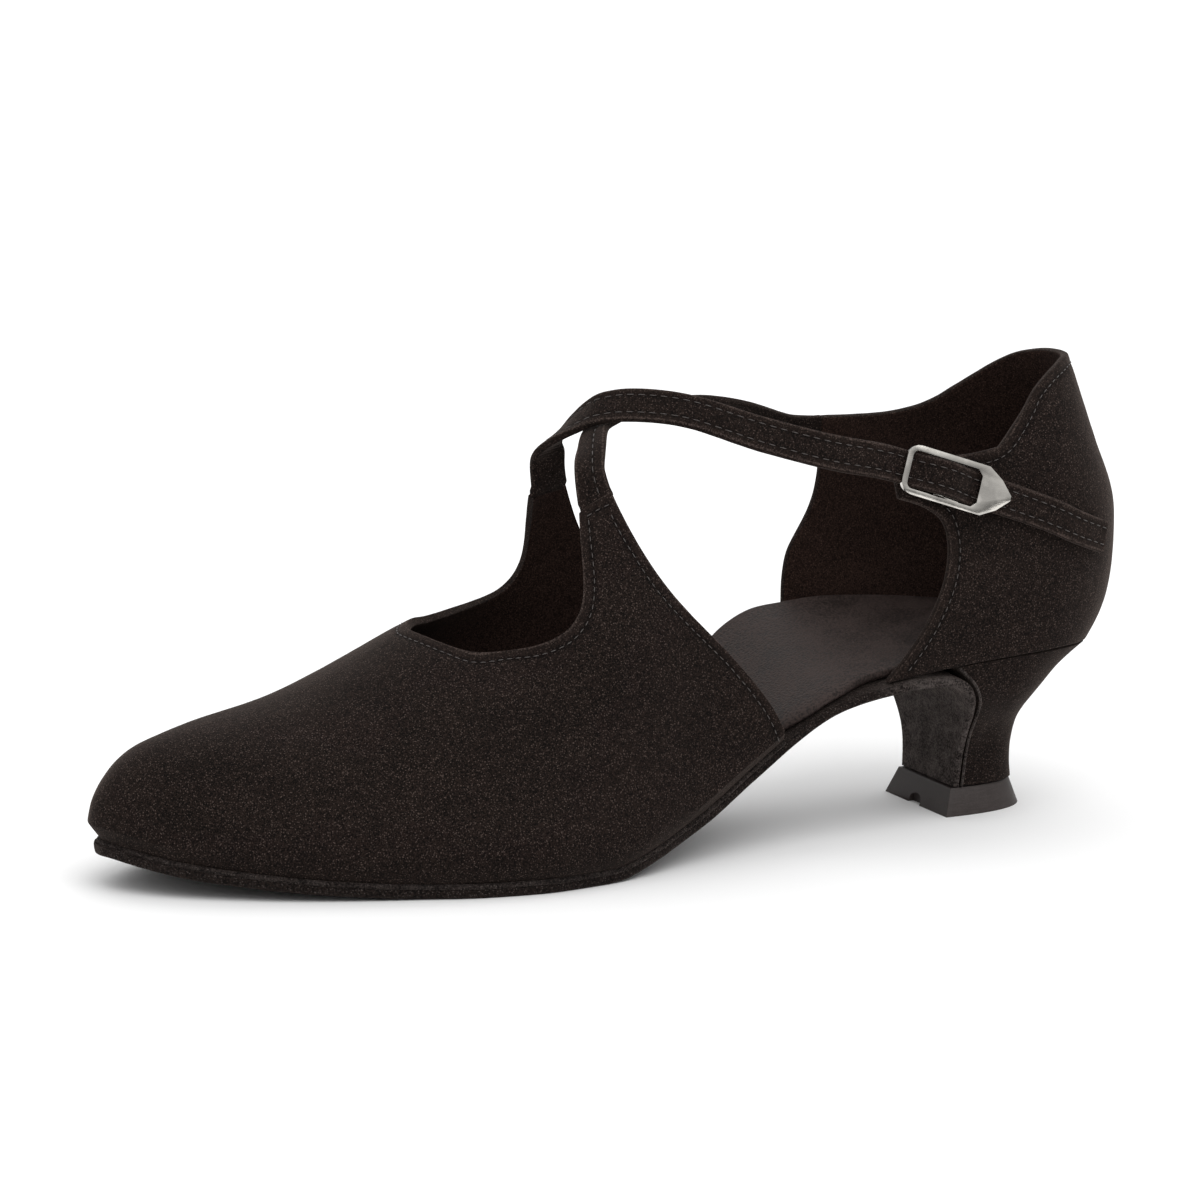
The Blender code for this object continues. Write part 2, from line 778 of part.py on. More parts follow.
def outsole_rings() -> list:
    """Sections from the toe along the waist and down the breast of the heel."""
    first = TOE_X - SOLE_TIP + 0.0004
    breast = SEAT_START + SEAT_LENGTH * FLAP[0].forward - 0.0040
    rings = [sole_ring(x) for x in stations_between(first, breast)]
    for row in FLAP:
        centre, inward, half, depth, tilt = flap_frame(row)
        corners = []
        for side, width in zip((LATERAL, MEDIAL), half):
            edge = centre + Vector((0.0, side * width, side * width * tilt))
            cut = Vector((0.0, -side * SOLE_CHAMFER, 0.0))
            corners.append([edge + cut + inward * depth, edge + inward * (depth - SOLE_CHAMFER / 2.0),
                            edge + inward * SOLE_CHAMFER, edge + cut])
        rings.append(corners[0] + corners[1][::-1])
    return rings


def insole_inset(x: float) -> float:
    """How far the insole stays inside the outline: clear of the walls, flush at the open waist."""
    inside = WALL + 3.0 * GAP
    opening = blend(WAIST_OPEN_FRONT, WAIST_OPEN_FRONT + 0.006, x)
    closing = blend(WAIST_OPEN_BACK - 0.006, WAIST_OPEN_BACK, x)
    return inside * (1.0 - opening * (1.0 - closing))


WAIST_OPEN_FRONT = station_x(LATERAL_REAR[0].along) + 2.0 * GAP
WAIST_OPEN_BACK = station_x(QUARTER_MEDIAL_FRONT[0].along) - 2.0 * GAP


def insole_rings() -> list:
    """Sections of the insole board and sock, with the pad under the arch."""
    inside = WALL + 3.0 * GAP
    first = TOE_X + inside + 0.0006
    last = SEAT_BACK - inside - 0.0006
    rounding = [mix(SEAT_START, last, math.sin(math.radians(15.0 * i))) for i in range(1, 7)]
    rings = []
    for x in stations_between(first, SEAT_START) + rounding:
        grow = -insole_inset(x)
        low_y, high_y = outline(x, LATERAL, grow), outline(x, MEDIAL, grow)
        pad = ARCH_PAD * blend(0.42, 0.58, share_of(x)) * blend(0.95, 0.74, share_of(x))
        edge = min(0.0009, (high_y - low_y) / 6.0)
        ring = [Vector((x, low_y + edge, feather(x, low_y + edge))),
                Vector((x, low_y, feather(x, low_y) + edge))]
        for share in (0.0, 0.04, 0.25, 0.5, 0.75, 0.93, 0.985, 1.0):
            y = mix(low_y, high_y, share)
            drop = edge if share in (0.0, 1.0) else 0.0
            rise = INSOLE_THICKNESS + pad * share ** 2.5 - drop
            ring.append(Vector((x, y, feather(x, y) + rise)))
        ring.append(Vector((x, high_y, feather(x, high_y) + edge)))
        ring.append(Vector((x, high_y - edge, feather(x, high_y - edge))))
        rings.append(ring)
    return rings


def breast_line(z: float, side: int) -> tuple:
    """X and half width of the heel block's front corner at a height, just behind the flap."""
    rows = []
    for row in FLAP[1:]:
        centre, inward, half, depth, tilt = flap_frame(row)
        back = centre + inward * (depth + GAP)
        width = half[0] if side == LATERAL else half[1]
        rows.append((back.z + side * width * tilt, back.x + GAP, width))
    rows.sort()
    return smooth(rows, 1, z), smooth(rows, 2, z)


def heel_ring(row: HeelRow) -> list:
    """Section of the heel block: round back from corner to corner, flat breast."""
    low = LIFT_HEIGHT + GAP
    neck_back = SEAT_BACK * NECK_BACK_SHARE
    ring = []
    for j in range(HEEL_ARC_STEPS + 1):
        turn = mix(-90.0, 90.0, j / HEEL_ARC_STEPS)
        side = LATERAL if turn < 0.0 else MEDIAL
        reach = math.cos(math.radians(turn))
        corner = blend(0.35, 0.0, reach)
        seat_front, seat_width = breast_line(SEAT_HEIGHT, side)
        seat_x = mix(seat_front, SEAT_BACK - GAP, reach)
        seat_y = mix(outline(seat_x, side, -GAP), side * seat_width, corner)
        z = mix(low, sole_top(seat_x, seat_y), row.height)
        front, width = breast_line(z, side)
        x = mix(mix(front, neck_back, reach), mix(front, SEAT_BACK - GAP, reach), row.back)
        neck_y = side * HEEL_NECK_WIDTH / 2.0 * (1.0 - reach ** 2.6) ** (1.0 / 2.6)
        y = mix(mix(neck_y, seat_y, row.side), side * width, corner)
        ring.append(Vector((x, y, z)))
    return ring


def heel_block(collection) -> bpy.types.Object:
    """Covered heel: loft of the sections, with ladder faces over seat and foot."""
    rings = [heel_ring(row) for row in HEEL]
    count = len(rings[0])
    points = [point for ring in rings for point in ring]
    faces = []
    for i in range(len(rings) - 1):
        for k in range(count - 1):
            a = i * count + k
            faces.append((a, a + 1, a + count + 1, a + count))
        faces.append((i * count + count - 1, i * count, (i + 1) * count, (i + 2) * count - 1))
    for base in (0, (len(rings) - 1) * count):
        for k in range(count // 2):
            near, far = base + k, base + count - 1 - k
            if far - near > 2:
                faces.append((near, near + 1, far - 1, far))
            else:
                faces.append((near, near + 1, far))
    mesh = bpy.data.meshes.new("heel")
    mesh.from_pydata(points, [], faces)
    close_outward(mesh)
    mesh.shade_smooth()
    mesh.set_sharp_from_angle(angle=math.radians(40.0))
    return new_object("heel", mesh, collection, SUEDE)


def lift_ring(z: float, grow: float) -> list:
    """Outline of the top lift: straight front, slightly bowed sides, round back."""
    front = -LIFT_LENGTH / 2.0 - grow
    back = LIFT_LENGTH / 2.0 + grow
    half = LIFT_WIDTH / 2.0 + grow
    ring = []
    for j in range(HEEL_ARC_STEPS + 1):
        turn = math.radians(mix(-90.0, 90.0, j / HEEL_ARC_STEPS))
        reach = math.cos(turn)
        side = math.copysign((1.0 - reach ** 2.6) ** (1.0 / 2.6), turn)
        ring.append(Vector((mix(front, back, reach), half * side, z)))
    return ring


def strap_body(name: str, centres: list, normals: list, widths: tuple, starts: tuple, ends: tuple,
               collection) -> bpy.types.Object:
    """Flat strap along a route, tapered between two widths; its ends may be cut along the edge
    that they butt against."""
    rings = []
    count = len(centres)
    half = STRAP_THICKNESS / 2.0
    for i, centre in enumerate(centres):
        ahead = centres[min(i + 1, count - 1)] - centres[max(i - 1, 0)]
        tangent = ahead.normalized()
        normal = (normals[i] - tangent * normals[i].dot(tangent)).normalized()
        across = normal.cross(tangent) * (mix(*widths, i / (count - 1)) / 2.0)
        for cut, distance in ((starts, i), (ends, count - 1 - i)):
            if cut and distance < 5:
                across = mix(cut[0] * math.copysign(1.0, cut[0].dot(across)), across, distance / 5)
                normal = mix(cut[1], normal, distance / 5).normalized()
        trim = across.normalized() * STRAP_CHAMFER
        slim = normal * (half - STRAP_CHAMFER)
        full = normal * half
        rings.append([centre + across - trim + full, centre + across + slim,
                      centre + across - slim, centre + across - trim - full,
                      centre - across + trim - full, centre - across - slim,
                      centre - across + slim, centre - across + trim + full])
    return skinned(name, rings, collection, SUEDE)


def spline(points: list, steps: int) -> list:
    """Smooth curve through points, steps pieces to a span, even in speed at the joints."""
    out = []
    last = len(points) - 1
    for i in range(last):
        before = points[max(i - 1, 0)]
        after = points[min(i + 2, last)]
        for k in range(steps):
            out.append(passing(before, points[i], points[i + 1], after, k / steps))
    out.append(points[-1])
    return out


def strap_place(row: StrapRow) -> tuple:
    """World point and outward direction of a free strap row."""
    place = Vector((station_x(row.along), row.side * BALL_WIDTH / 2.0, row.height * INSTEP_HEIGHT))
    roll, yaw = math.radians(row.roll), math.radians(row.yaw)
    return place, Vector((math.sin(yaw), -math.cos(roll) * math.cos(yaw),
                          math.sin(roll) * math.cos(yaw)))


def mid_wall(point: Vector, normal: Vector) -> Vector:
    """Point halfway through a wall whose outer face is given."""
    return point - normal * (WALL / 2.0)


def peak_joint(side: int) -> tuple:
    """Middle of a vamp peak's top edge, its half edge, its outward direction and the way up."""
    rear = rim_at(0.0, side)
    fore = rim_at(PEAK_SHARE, side)
    corners = [side_point(spot.x, side_angle(spot.x, spot.y, side), side) for spot in (rear, fore)]
    below = [side_point(spot.x, side_angle(spot.x, spot.y - 0.001, side), side)
             for spot in (rear, fore)]
    edge = corners[0] - corners[1]
    up = (corners[0] + corners[1] - below[0] - below[1]).normalized()
    normal = edge.cross(up).normalized()
    if normal.y * side < 0.0:
        normal.negate()
    middle = mid_wall((corners[0] + corners[1]) / 2.0, normal)
    square_up = (up - edge * (up.dot(edge) / edge.length_squared)).normalized()
    return middle, edge / 2.0, normal, square_up


def quarter_joint() -> tuple:
    """Upper part of the quarter's medial front edge, where the cross strap is sewn on."""
    high = quarter_grid()[-1][-1]
    turn = quarter_turn(high.x, MEDIAL)
    centre_z = high.z - STRAP_WIDTH / 2.0
    normal = quarter_normal(turn, centre_z)
    face = mid_wall(quarter_point(turn, centre_z), normal)
    up = quarter_point(turn, high.z) - quarter_point(turn, centre_z)
    return face, up, normal


def tail_place(row: TailRow) -> tuple:
    """World point and outward direction of a row of the strap lying on the quarter."""
    z = SEAT_HEIGHT + COUNTER_HEIGHT * row.height
    normal = quarter_normal(row.turn, z)
    return quarter_point(row.turn, z) + normal * (STRAP_THICKNESS / 2.0 + GAP), normal


def over_bar(centres: list) -> list:
    """Lift the strap off the quarter where it passes over the buckle's bar."""
    matrix = buckle_matrix()
    loop = max(KEEPER_THICKNESS, PRONG_DIAMETER)
    lift = KEEPER_THICKNESS + loop + BAR_DIAMETER + 4.0 * GAP
    reach = BUCKLE_LENGTH / 2.0 - BUCKLE_BAND - GAP
    outward = matrix.col[2].xyz
    raised = []
    for centre in centres:
        away = (centre - matrix.translation).dot(matrix.col[0].xyz) / reach
        raised.append(centre + outward * (lift * max(1.0 - away * away, 0.0) ** 2))
    return raised


def instep_strap(collection) -> bpy.types.Object:
    """Strap from the medial peak over the instep and through the buckle."""
    middle, edge, normal, up = peak_joint(MEDIAL)
    start = middle + up * (2.0 * GAP)
    rows = [(start, normal)]
    rows += [strap_place(row) for row in INSTEP_STRAP]
    rows += [tail_place(row) for row in TAIL]
    centres = over_bar(spline([row[0] for row in rows], 6))
    normals = spline([row[1] for row in rows], 6)
    widths = (STRAP_WIDTH, TAIL_WIDTH)
    return strap_body("instep_strap", centres, normals, widths, (edge, normal), (), collection)


def cross_strap(collection) -> bpy.types.Object:
    """Strap from the lateral peak, under the other strap, to the quarter's medial front."""
    middle, edge, normal, up = peak_joint(LATERAL)
    face, half_up, out = quarter_joint()
    start = middle + up * (2.0 * GAP)
    end = face - Vector((GAP * 1.5, 0.0, 0.0))
    rows = [(start, normal)]
    rows += [strap_place(row) for row in CROSS_STRAP]
    rows.append((end, out))
    centres = spline([row[0] for row in rows], 5)
    normals = spline([row[1] for row in rows], 5)
    widths = (CROSS_WIDTH, TAIL_WIDTH)
    return strap_body("cross_strap", centres, normals, widths, (edge, normal), (half_up, out),
                      collection)


def buckle_matrix() -> Matrix:
    """Frame of the buckle on the quarter: X along the strap, Y across it, Z out of the shoe."""
    row = TAIL[BUCKLE_ROW]
    z = SEAT_HEIGHT + COUNTER_HEIGHT * row.height
    origin = quarter_point(row.turn, z)
    normal = quarter_normal(row.turn, z)
    ahead = tail_place(TAIL[BUCKLE_ROW + 1])[0] - tail_place(TAIL[BUCKLE_ROW - 1])[0]
    along = (ahead - normal * ahead.dot(normal)).normalized()
    across = normal.cross(along)
    matrix = Matrix((along, across, normal)).transposed().to_4x4()
    matrix.translation = origin
    return matrix


BAR_HEIGHT = KEEPER_THICKNESS + 2.0 * GAP + BAR_DIAMETER / 2.0
FRAME_HEIGHT = STRAP_THICKNESS + 2.0 * GAP + BUCKLE_THICKNESS / 2.0
FRAME_HALF = (TAIL_WIDTH + BUCKLE_PLAY) / 2.0 + BUCKLE_BAND


def rounded_box(x0: float, x1: float, half: float, radius: float, tip: float) -> list:
    """Outline with rounded left corners, and right corners drawn out to a tip when tip > 0."""
    points = []
    for k in range(5):
        angle = math.radians(90.0 + 22.5 * k)
        points.append((x0 + radius + radius * math.cos(angle),
                       half - radius + radius * math.sin(angle)))
    for k in range(5):
        angle = math.radians(180.0 + 22.5 * k)
        points.append((x0 + radius + radius * math.cos(angle),
                       radius - half + radius * math.sin(angle)))
    if tip > 0.0:
        points += [(x1, -half), (x1 + tip * 0.55, -half * 0.62), (x1 + tip, -half * 0.10),
                   (x1 + tip, half * 0.10), (x1 + tip * 0.55, half * 0.62), (x1, half)]
    else:
        points += [(x1 - radius, -half), (x1, radius - half), (x1, half - radius),
                   (x1 - radius, half)]
    return points


def flat_plate(name: str, loops: list, thickness: float) -> bpy.types.Mesh:
    """Plate between outlines, made from a filled flat curve."""
    curve = bpy.data.curves.new(name, "CURVE")
    curve.dimensions = "2D"
    curve.fill_mode = "BOTH"
    curve.extrude = thickness / 2.0
    for loop in loops:
        line = curve.splines.new("POLY")
        line.points.add(len(loop) - 1)
        for point, (x, y) in zip(line.points, loop):
            point.co = (x, y, 0.0, 1.0)
        line.use_cyclic_u = True
    item = bpy.data.objects.new(name, curve)
    bpy.context.scene.collection.objects.link(item)
    evaluated = item.evaluated_get(bpy.context.evaluated_depsgraph_get())
    mesh = bpy.data.meshes.new_from_object(evaluated)
    bpy.data.objects.remove(item, do_unlink=True)
    work = bmesh.new()
    work.from_mesh(mesh)
    bmesh.ops.remove_doubles(work, verts=work.verts, dist=0.00002)
    bmesh.ops.recalc_face_normals(work, faces=work.faces)
    work.to_mesh(mesh)
    work.free()
    return mesh


def rod(name: str, points: list, diameter: float) -> bpy.types.Mesh:
    """Round wire through points, capped and closed."""
    curve = bpy.data.curves.new(name, "CURVE")
    curve.dimensions = "3D"
    curve.bevel_depth = diameter / 2.0
    curve.bevel_resolution = 1
    curve.use_fill_caps = True
    line = curve.splines.new("POLY")
    line.points.add(len(points) - 1)
    for point, place in zip(line.points, points):
        point.co = (*place, 1.0)
    item = bpy.data.objects.new(name, curve)
    bpy.context.scene.collection.objects.link(item)
    evaluated = item.evaluated_get(bpy.context.evaluated_depsgraph_get())
    mesh = bpy.data.meshes.new_from_object(evaluated)
    bpy.data.objects.remove(item, do_unlink=True)
    work = bmesh.new()
    work.from_mesh(mesh)
    bmesh.ops.remove_doubles(work, verts=work.verts, dist=0.00002)
    bmesh.ops.recalc_face_normals(work, faces=work.faces)
    work.to_mesh(mesh)
    work.free()
    return mesh


def buckle_frame(matrix: Matrix, collection, cutters) -> bpy.types.Object:
    """Cast frame with its pointed tip plate and centre bar in one piece."""
    half_long = BUCKLE_LENGTH / 2.0
    band = BUCKLE_BAND
    outer = rounded_box(-half_long, half_long, FRAME_HALF, 2.2 * band, BUCKLE_TIP)
    inner = rounded_box(-half_long + band, half_long - band, FRAME_HALF - band, band, 0.0)
    mesh = flat_plate("buckle_frame", [outer, inner], BUCKLE_THICKNESS)
    mesh.transform(Matrix.Translation((0.0, 0.0, FRAME_HEIGHT)))
    frame = new_object("buckle_frame", mesh, collection, NICKEL)
    frame.matrix_world = matrix
    reach = FRAME_HALF - band / 2.0
    path = [(0.0, -reach, FRAME_HEIGHT), (0.0, -reach, BAR_HEIGHT),
            (0.0, reach, BAR_HEIGHT), (0.0, reach, FRAME_HEIGHT)]
    bar = bpy.data.objects.new("bar_cutter", rod("bar_cutter", path, BAR_DIAMETER))
    cutters.objects.link(bar)
    bar.matrix_world = matrix
    bar.hide_render = True
    bar.display_type = "WIRE"
    join = frame.modifiers.new("bar", "BOOLEAN")
    join.operation = "UNION"
    join.solver = "EXACT"
    join.object = bar
    return frame


def buckle_prong(matrix: Matrix, collection) -> bpy.types.Object:
    """Short hook under the strap that turns on the centre bar."""
    start = BAR_DIAMETER / 2.0 + GAP + PRONG_DIAMETER / 2.0
    side = -KEEPER_WIDTH / 2.0 - GAP - PRONG_DIAMETER / 2.0
    points = []
    for k in range(7):
        angle = math.radians(200.0 - 30.0 * k)
        points.append((start * math.cos(angle), side, BAR_HEIGHT + start * math.sin(angle)))
    points.append((start + 0.0020, side, BAR_HEIGHT - 0.0002))
    points.append((start + 0.0040, side, BAR_HEIGHT - 0.0006))
    item = new_object("buckle_prong", rod("buckle_prong", points, PRONG_DIAMETER), collection, NICKEL)
    item.matrix_world = matrix
    return item


def buckle_keeper(matrix: Matrix, collection) -> bpy.types.Object:
    """Suede band folded round the centre bar and sewn to the quarter."""
    inner = BAR_DIAMETER / 2.0 + GAP
    outer = inner + KEEPER_THICKNESS
    rear = -BUCKLE_LENGTH * 0.21
    foot = BAR_HEIGHT - GAP - BAR_DIAMETER / 2.0
    profile = [(rear, foot - KEEPER_THICKNESS), (0.0, BAR_HEIGHT - outer)]
    for k in range(1, 8):
        angle = math.radians(-90.0 + 22.5 * k)
        profile.append((outer * math.cos(angle), BAR_HEIGHT + outer * math.sin(angle)))
    profile += [(-inner, BAR_HEIGHT + outer * 0.92), (rear, foot + 2.0 * KEEPER_THICKNESS)]
    hole = []
    for k in range(12):
        angle = math.radians(30.0 * k)
        hole.append((inner * math.cos(angle), BAR_HEIGHT + inner * math.sin(angle)))
    mesh = flat_plate("buckle_keeper", [profile, hole], KEEPER_WIDTH)
    stand = Matrix(((1, 0, 0, 0), (0, 0, 1, 0), (0, 1, 0, 0), (0, 0, 0, 1)))
    mesh.transform(stand)
    close_outward(mesh)
    item = new_object("buckle_keeper", mesh, collection, SUEDE)
    item.matrix_world = matrix
    return item


def main() -> None:
    """Build every piece of the shoe."""
    clear_scene()
    parts = bpy.data.collections.new("ballroom_dance_shoe")
    cutters = bpy.data.collections.new("cutters")
    for group in (parts, cutters):
        bpy.context.scene.collection.children.link(group)
    skinned("outsole", outsole_rings(), parts, SOLE_SUEDE)
    skinned("insole", insole_rings(), parts, SOCK)
    shell("vamp", vamp_grid(), True, parts, SUEDE)
    shell("quarter", quarter_grid(), False, parts, SUEDE)
    heel_block(parts)
    skinned("top_lift", [lift_ring(0.0, 0.0), lift_ring(LIFT_HEIGHT, -LIFT_FLARE)], parts,
            LIFT_PLASTIC)
    instep_strap(parts)
    cross_strap(parts)
    matrix = buckle_matrix()
    buckle_frame(matrix, parts, cutters)
    buckle_prong(matrix, parts)
    buckle_keeper(matrix, parts)


main()
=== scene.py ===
"""Looks of a left ballroom dance shoe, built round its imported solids."""

import logging
import math
from collections.abc import Iterable
from dataclasses import dataclass, field
from enum import Enum
from typing import NamedTuple

import bmesh
import bpy
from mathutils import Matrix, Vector, noise
from mathutils.bvhtree import BVHTree
from mathutils.kdtree import KDTree


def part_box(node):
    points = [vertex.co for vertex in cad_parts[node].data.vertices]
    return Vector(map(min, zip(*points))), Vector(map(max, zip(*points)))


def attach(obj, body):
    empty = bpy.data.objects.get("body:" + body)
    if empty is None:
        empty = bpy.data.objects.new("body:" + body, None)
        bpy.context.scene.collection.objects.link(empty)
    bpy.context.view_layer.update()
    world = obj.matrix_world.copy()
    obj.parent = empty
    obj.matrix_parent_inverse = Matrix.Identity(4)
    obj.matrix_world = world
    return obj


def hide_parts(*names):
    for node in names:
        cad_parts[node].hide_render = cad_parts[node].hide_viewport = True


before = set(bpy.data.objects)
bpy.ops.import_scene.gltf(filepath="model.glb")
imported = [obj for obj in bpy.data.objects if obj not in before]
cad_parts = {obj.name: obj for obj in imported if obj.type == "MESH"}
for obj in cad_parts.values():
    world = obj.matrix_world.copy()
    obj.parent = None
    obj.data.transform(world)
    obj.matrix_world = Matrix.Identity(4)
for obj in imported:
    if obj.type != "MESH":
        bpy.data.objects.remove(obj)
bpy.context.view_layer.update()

LOG = logging.getLogger("shoe")
MM = 0.001
BODY = "root"
ROW_STEP = 0.4 * MM  # from spot to spot of a row of stitches
ROW_JUMP = 2.5 * ROW_STEP  # a longer gap starts a new row
SHORTEST_ROW = 8  # spots
FACING = 0.2  # least agreement between the normals of a border and of the skin beside it
CLEARANCE = 0.95  # share of its distance that a row keeps from every side
RIM_WIDTH = 2.0 * MM  # how far a cut edge's marking reaches
WAVES = ((90.0, 0.10 * MM), (330.0, 0.035 * MM))  # rate per metre and height of each swell
CORNER = math.radians(42.0)  # smallest turn at a corner of a shell's border
Colour = tuple[float, float, float]


class Wire:
    """A shader socket that takes part in Python arithmetic."""

    def __init__(self, maker: "Maker", socket: bpy.types.NodeSocket) -> None:
        """Keep the socket and the maker of its tree."""
        self.maker = maker
        self.socket = socket

    def __add__(self, other: "Wire | float") -> "Wire":
        """Sum of two values."""
        return self.maker.math("ADD", self, other)

    def __rsub__(self, other: float) -> "Wire":
        """Difference of a number and this value."""
        return self.maker.math("SUBTRACT", other, self)

    def __mul__(self, other: "Wire | float") -> "Wire":
        """Product of two values."""
        return self.maker.math("MULTIPLY", self, other)

    __radd__ = __add__
    __rmul__ = __mul__


class Maker:
    """Builds the node tree of one material."""

    def __init__(self, name: str) -> None:
        """Start a material with a Principled shader."""
        self.material = bpy.data.materials.new(name)
        self.material.use_nodes = True
        self.tree = self.material.node_tree
        self.shader = self.tree.nodes["Principled BSDF"]

    def node(self, kind: str, settings: dict, sockets: dict) -> bpy.types.Node:
        """Add one node.

        Args:
            kind: the node's type.
            settings: its properties, which are set first.
            sockets: values or wires for its inputs, by name or number.

        Returns:
            The new node.
        """
        made = self.tree.nodes.new(kind)
        for key, value in settings.items():
            setattr(made, key, value)
        for key, value in sockets.items():
            self.feed(made.inputs[key], value)
        return made

    def feed(self, socket: bpy.types.NodeSocket, value: object) -> None:
        """Link a wire to a socket, or set its value."""
        if isinstance(value, Wire):
            self.tree.links.new(value.socket, socket)
        else:
            socket.default_value = value

    def math(self, operation: str, *values: "Wire | float") -> Wire:
        """Math node on one or two values."""
        made = self.node("ShaderNodeMath", {"operation": operation}, dict(enumerate(values)))
        return Wire(self, made.outputs[0])

    def ramp(self, value: Wire, low: float, high: float) -> Wire:
        """Soft step of a value from 0 at low to 1 at high."""
        made = self.node("ShaderNodeMapRange", {"interpolation_type": "SMOOTHSTEP"},
                         {"Value": value, "From Min": low, "From Max": high})
        return Wire(self, made.outputs[0])

    def mix(self, low: "Colour | Wire", high: "Colour | Wire", share: Wire) -> Wire:
        """Mix of two colours."""
        sides = {6: low if isinstance(low, Wire) else (*low, 1.0),
                 7: high if isinstance(high, Wire) else (*high, 1.0)}
        made = self.node("ShaderNodeMix", {"data_type": "RGBA"}, {0: share, **sides})
        return Wire(self, made.outputs[2])

    def place(self, stretch: tuple[float, float, float] = (1.0, 1.0, 1.0)) -> Wire:
        """Object coordinates, stretched along the axes."""
        spot = Wire(self, self.node("ShaderNodeTexCoord", {}, {}).outputs["Object"])
        made = self.node("ShaderNodeVectorMath", {"operation": "MULTIPLY"}, {0: spot, 1: stretch})
        return Wire(self, made.outputs[0])

    def grain(self, place: Wire, size: float, detail: float = 2.0, rough: float = 0.55) -> Wire:
        """Noise whose features are about size metres wide, from 0 to 1."""
        made = self.node("ShaderNodeTexNoise", {},
                         {"Vector": place, "Scale": 1.0 / size, "Detail": detail,
                          "Roughness": rough})
        return Wire(self, made.outputs[0])

    def pebbles(self, place: Wire, size: float) -> Wire:
        """Cells about size metres wide; 0 at their middles."""
        made = self.node("ShaderNodeTexVoronoi", {}, {"Vector": place, "Scale": 1.0 / size})
        return Wire(self, made.outputs["Distance"])

    def mark(self, name: str) -> Wire:
        """A value stored on the mesh under a name."""
        made = self.node("ShaderNodeAttribute", {"attribute_name": name}, {})
        return Wire(self, made.outputs["Fac"])

    def bump(self, height: Wire, depth: float) -> None:
        """Feed the shader's normal from a height of 0 to 1 that stands for depth metres."""
        made = self.node("ShaderNodeBump", {}, {"Height": height, "Distance": depth})
        self.tree.links.new(made.outputs[0], self.shader.inputs["Normal"])

    def surface(self, colour: "Wire | Colour", rough: "Wire | float", **constants: object) -> None:
        """Set the shader's colour, roughness and constant sockets.

        Args:
            colour: base colour.
            rough: roughness.
            constants: other sockets by name, with _ for a space.
        """
        self.feed(self.shader.inputs["Base Color"],
                  colour if isinstance(colour, Wire) else (*colour, 1.0))
        self.feed(self.shader.inputs["Roughness"], rough)
        for key, value in constants.items():
            self.shader.inputs[key.replace("_", " ")].default_value = value


def shaded(colour: Colour, share: float) -> Colour:
    """A colour times a number."""
    red, green, blue = colour
    return share * red, share * green, share * blue


@dataclass(frozen=True)
class Suede:
    """Napped leather: speckled, mottled where the nap lies another way, paler along cut edges.

    Three values stored on a mesh steer it: seam along the stitches, where the nap is pressed down
    and painted shade darkens the furrow, raised where it is pale and hairy, and rim towards a cut
    edge.
    """
    name: str
    dark: Colour
    light: Colour
    salt: Colour = (0.132, 0.098, 0.085)
    nap: float = 0.36 * MM
    relief: float = 0.14 * MM
    sheen: float = 0.14
    contrast: float = 0.09
    clumps: float = 4.5
    strokes: float = 12.0 * MM
    stroke_stretch: tuple[float, float, float] = (0.5, 0.8, 1.2)
    specks: float = 0.46 * MM
    hairs: float = 3.6 * MM
    hair_stretch: tuple[float, float, float] = (0.8, 0.8, 1.0)
    sheen_tint: Colour = (0.80, 0.63, 0.55)

    def material(self) -> bpy.types.Material:
        """Make the material."""
        maker = Maker(self.name)
        spot = maker.place()
        fibre = maker.grain(spot, self.nap, 2.0, 0.75)
        clump = maker.grain(spot, self.nap * self.clumps, 2.0, 0.6)
        stroke = maker.grain(maker.place(self.stroke_stretch), self.strokes, 2.0, 0.5)
        mixed = fibre * 0.76 + clump * 0.14 + stroke * 0.10
        share = maker.ramp(mixed, 0.5 - self.contrast, 0.5 + self.contrast)
        colour = self.worn(maker, self.speckled(maker, spot, share), share)
        maker.bump(fibre * 0.75 + clump * 0.45, self.relief)
        maker.surface(colour, 0.95, Sheen_Weight=self.sheen, Sheen_Roughness=0.35,
                      Sheen_Tint=(*self.sheen_tint, 1.0), Specular_IOR_Level=0.12)
        return maker.material

    def speckled(self, maker: Maker, spot: Wire, share: Wire) -> Wire:
        """Dark and light nap with pale tips, darker along seams: pressed nap and painted furrow
        shade.
        """
        tips = (1.0 - maker.ramp(maker.pebbles(spot, self.specks), 0.12, 0.42)) * share
        colour = maker.mix(maker.mix(self.dark, self.light, share), self.salt, tips * 0.62)
        # painted shade: the colour darkens along the stitch furrows, on top of the pressed nap
        return maker.mix(colour, shaded(self.dark, 0.5), maker.mark("seam") * 0.65)

    def worn(self, maker: Maker, colour: Wire, share: Wire) -> Wire:
        """The colour, turned pale where the nap is raised and on raw cut edges."""
        hair = maker.ramp(maker.grain(maker.place(self.hair_stretch), self.hairs, 5.0, 0.8),
                          0.40, 0.66)
        raised = maker.mix(colour, self.salt,
                           maker.mark("raised") * (share * 0.34 + hair * 0.34))
        rim = maker.mark("rim")
        band = maker.mix(raised, shaded(self.light, 1.25), maker.ramp(rim, 0.05, 0.35) * 0.16)
        return maker.mix(band, self.salt, maker.ramp(rim, 0.76, 0.94) * (share * 0.32 + 0.04))


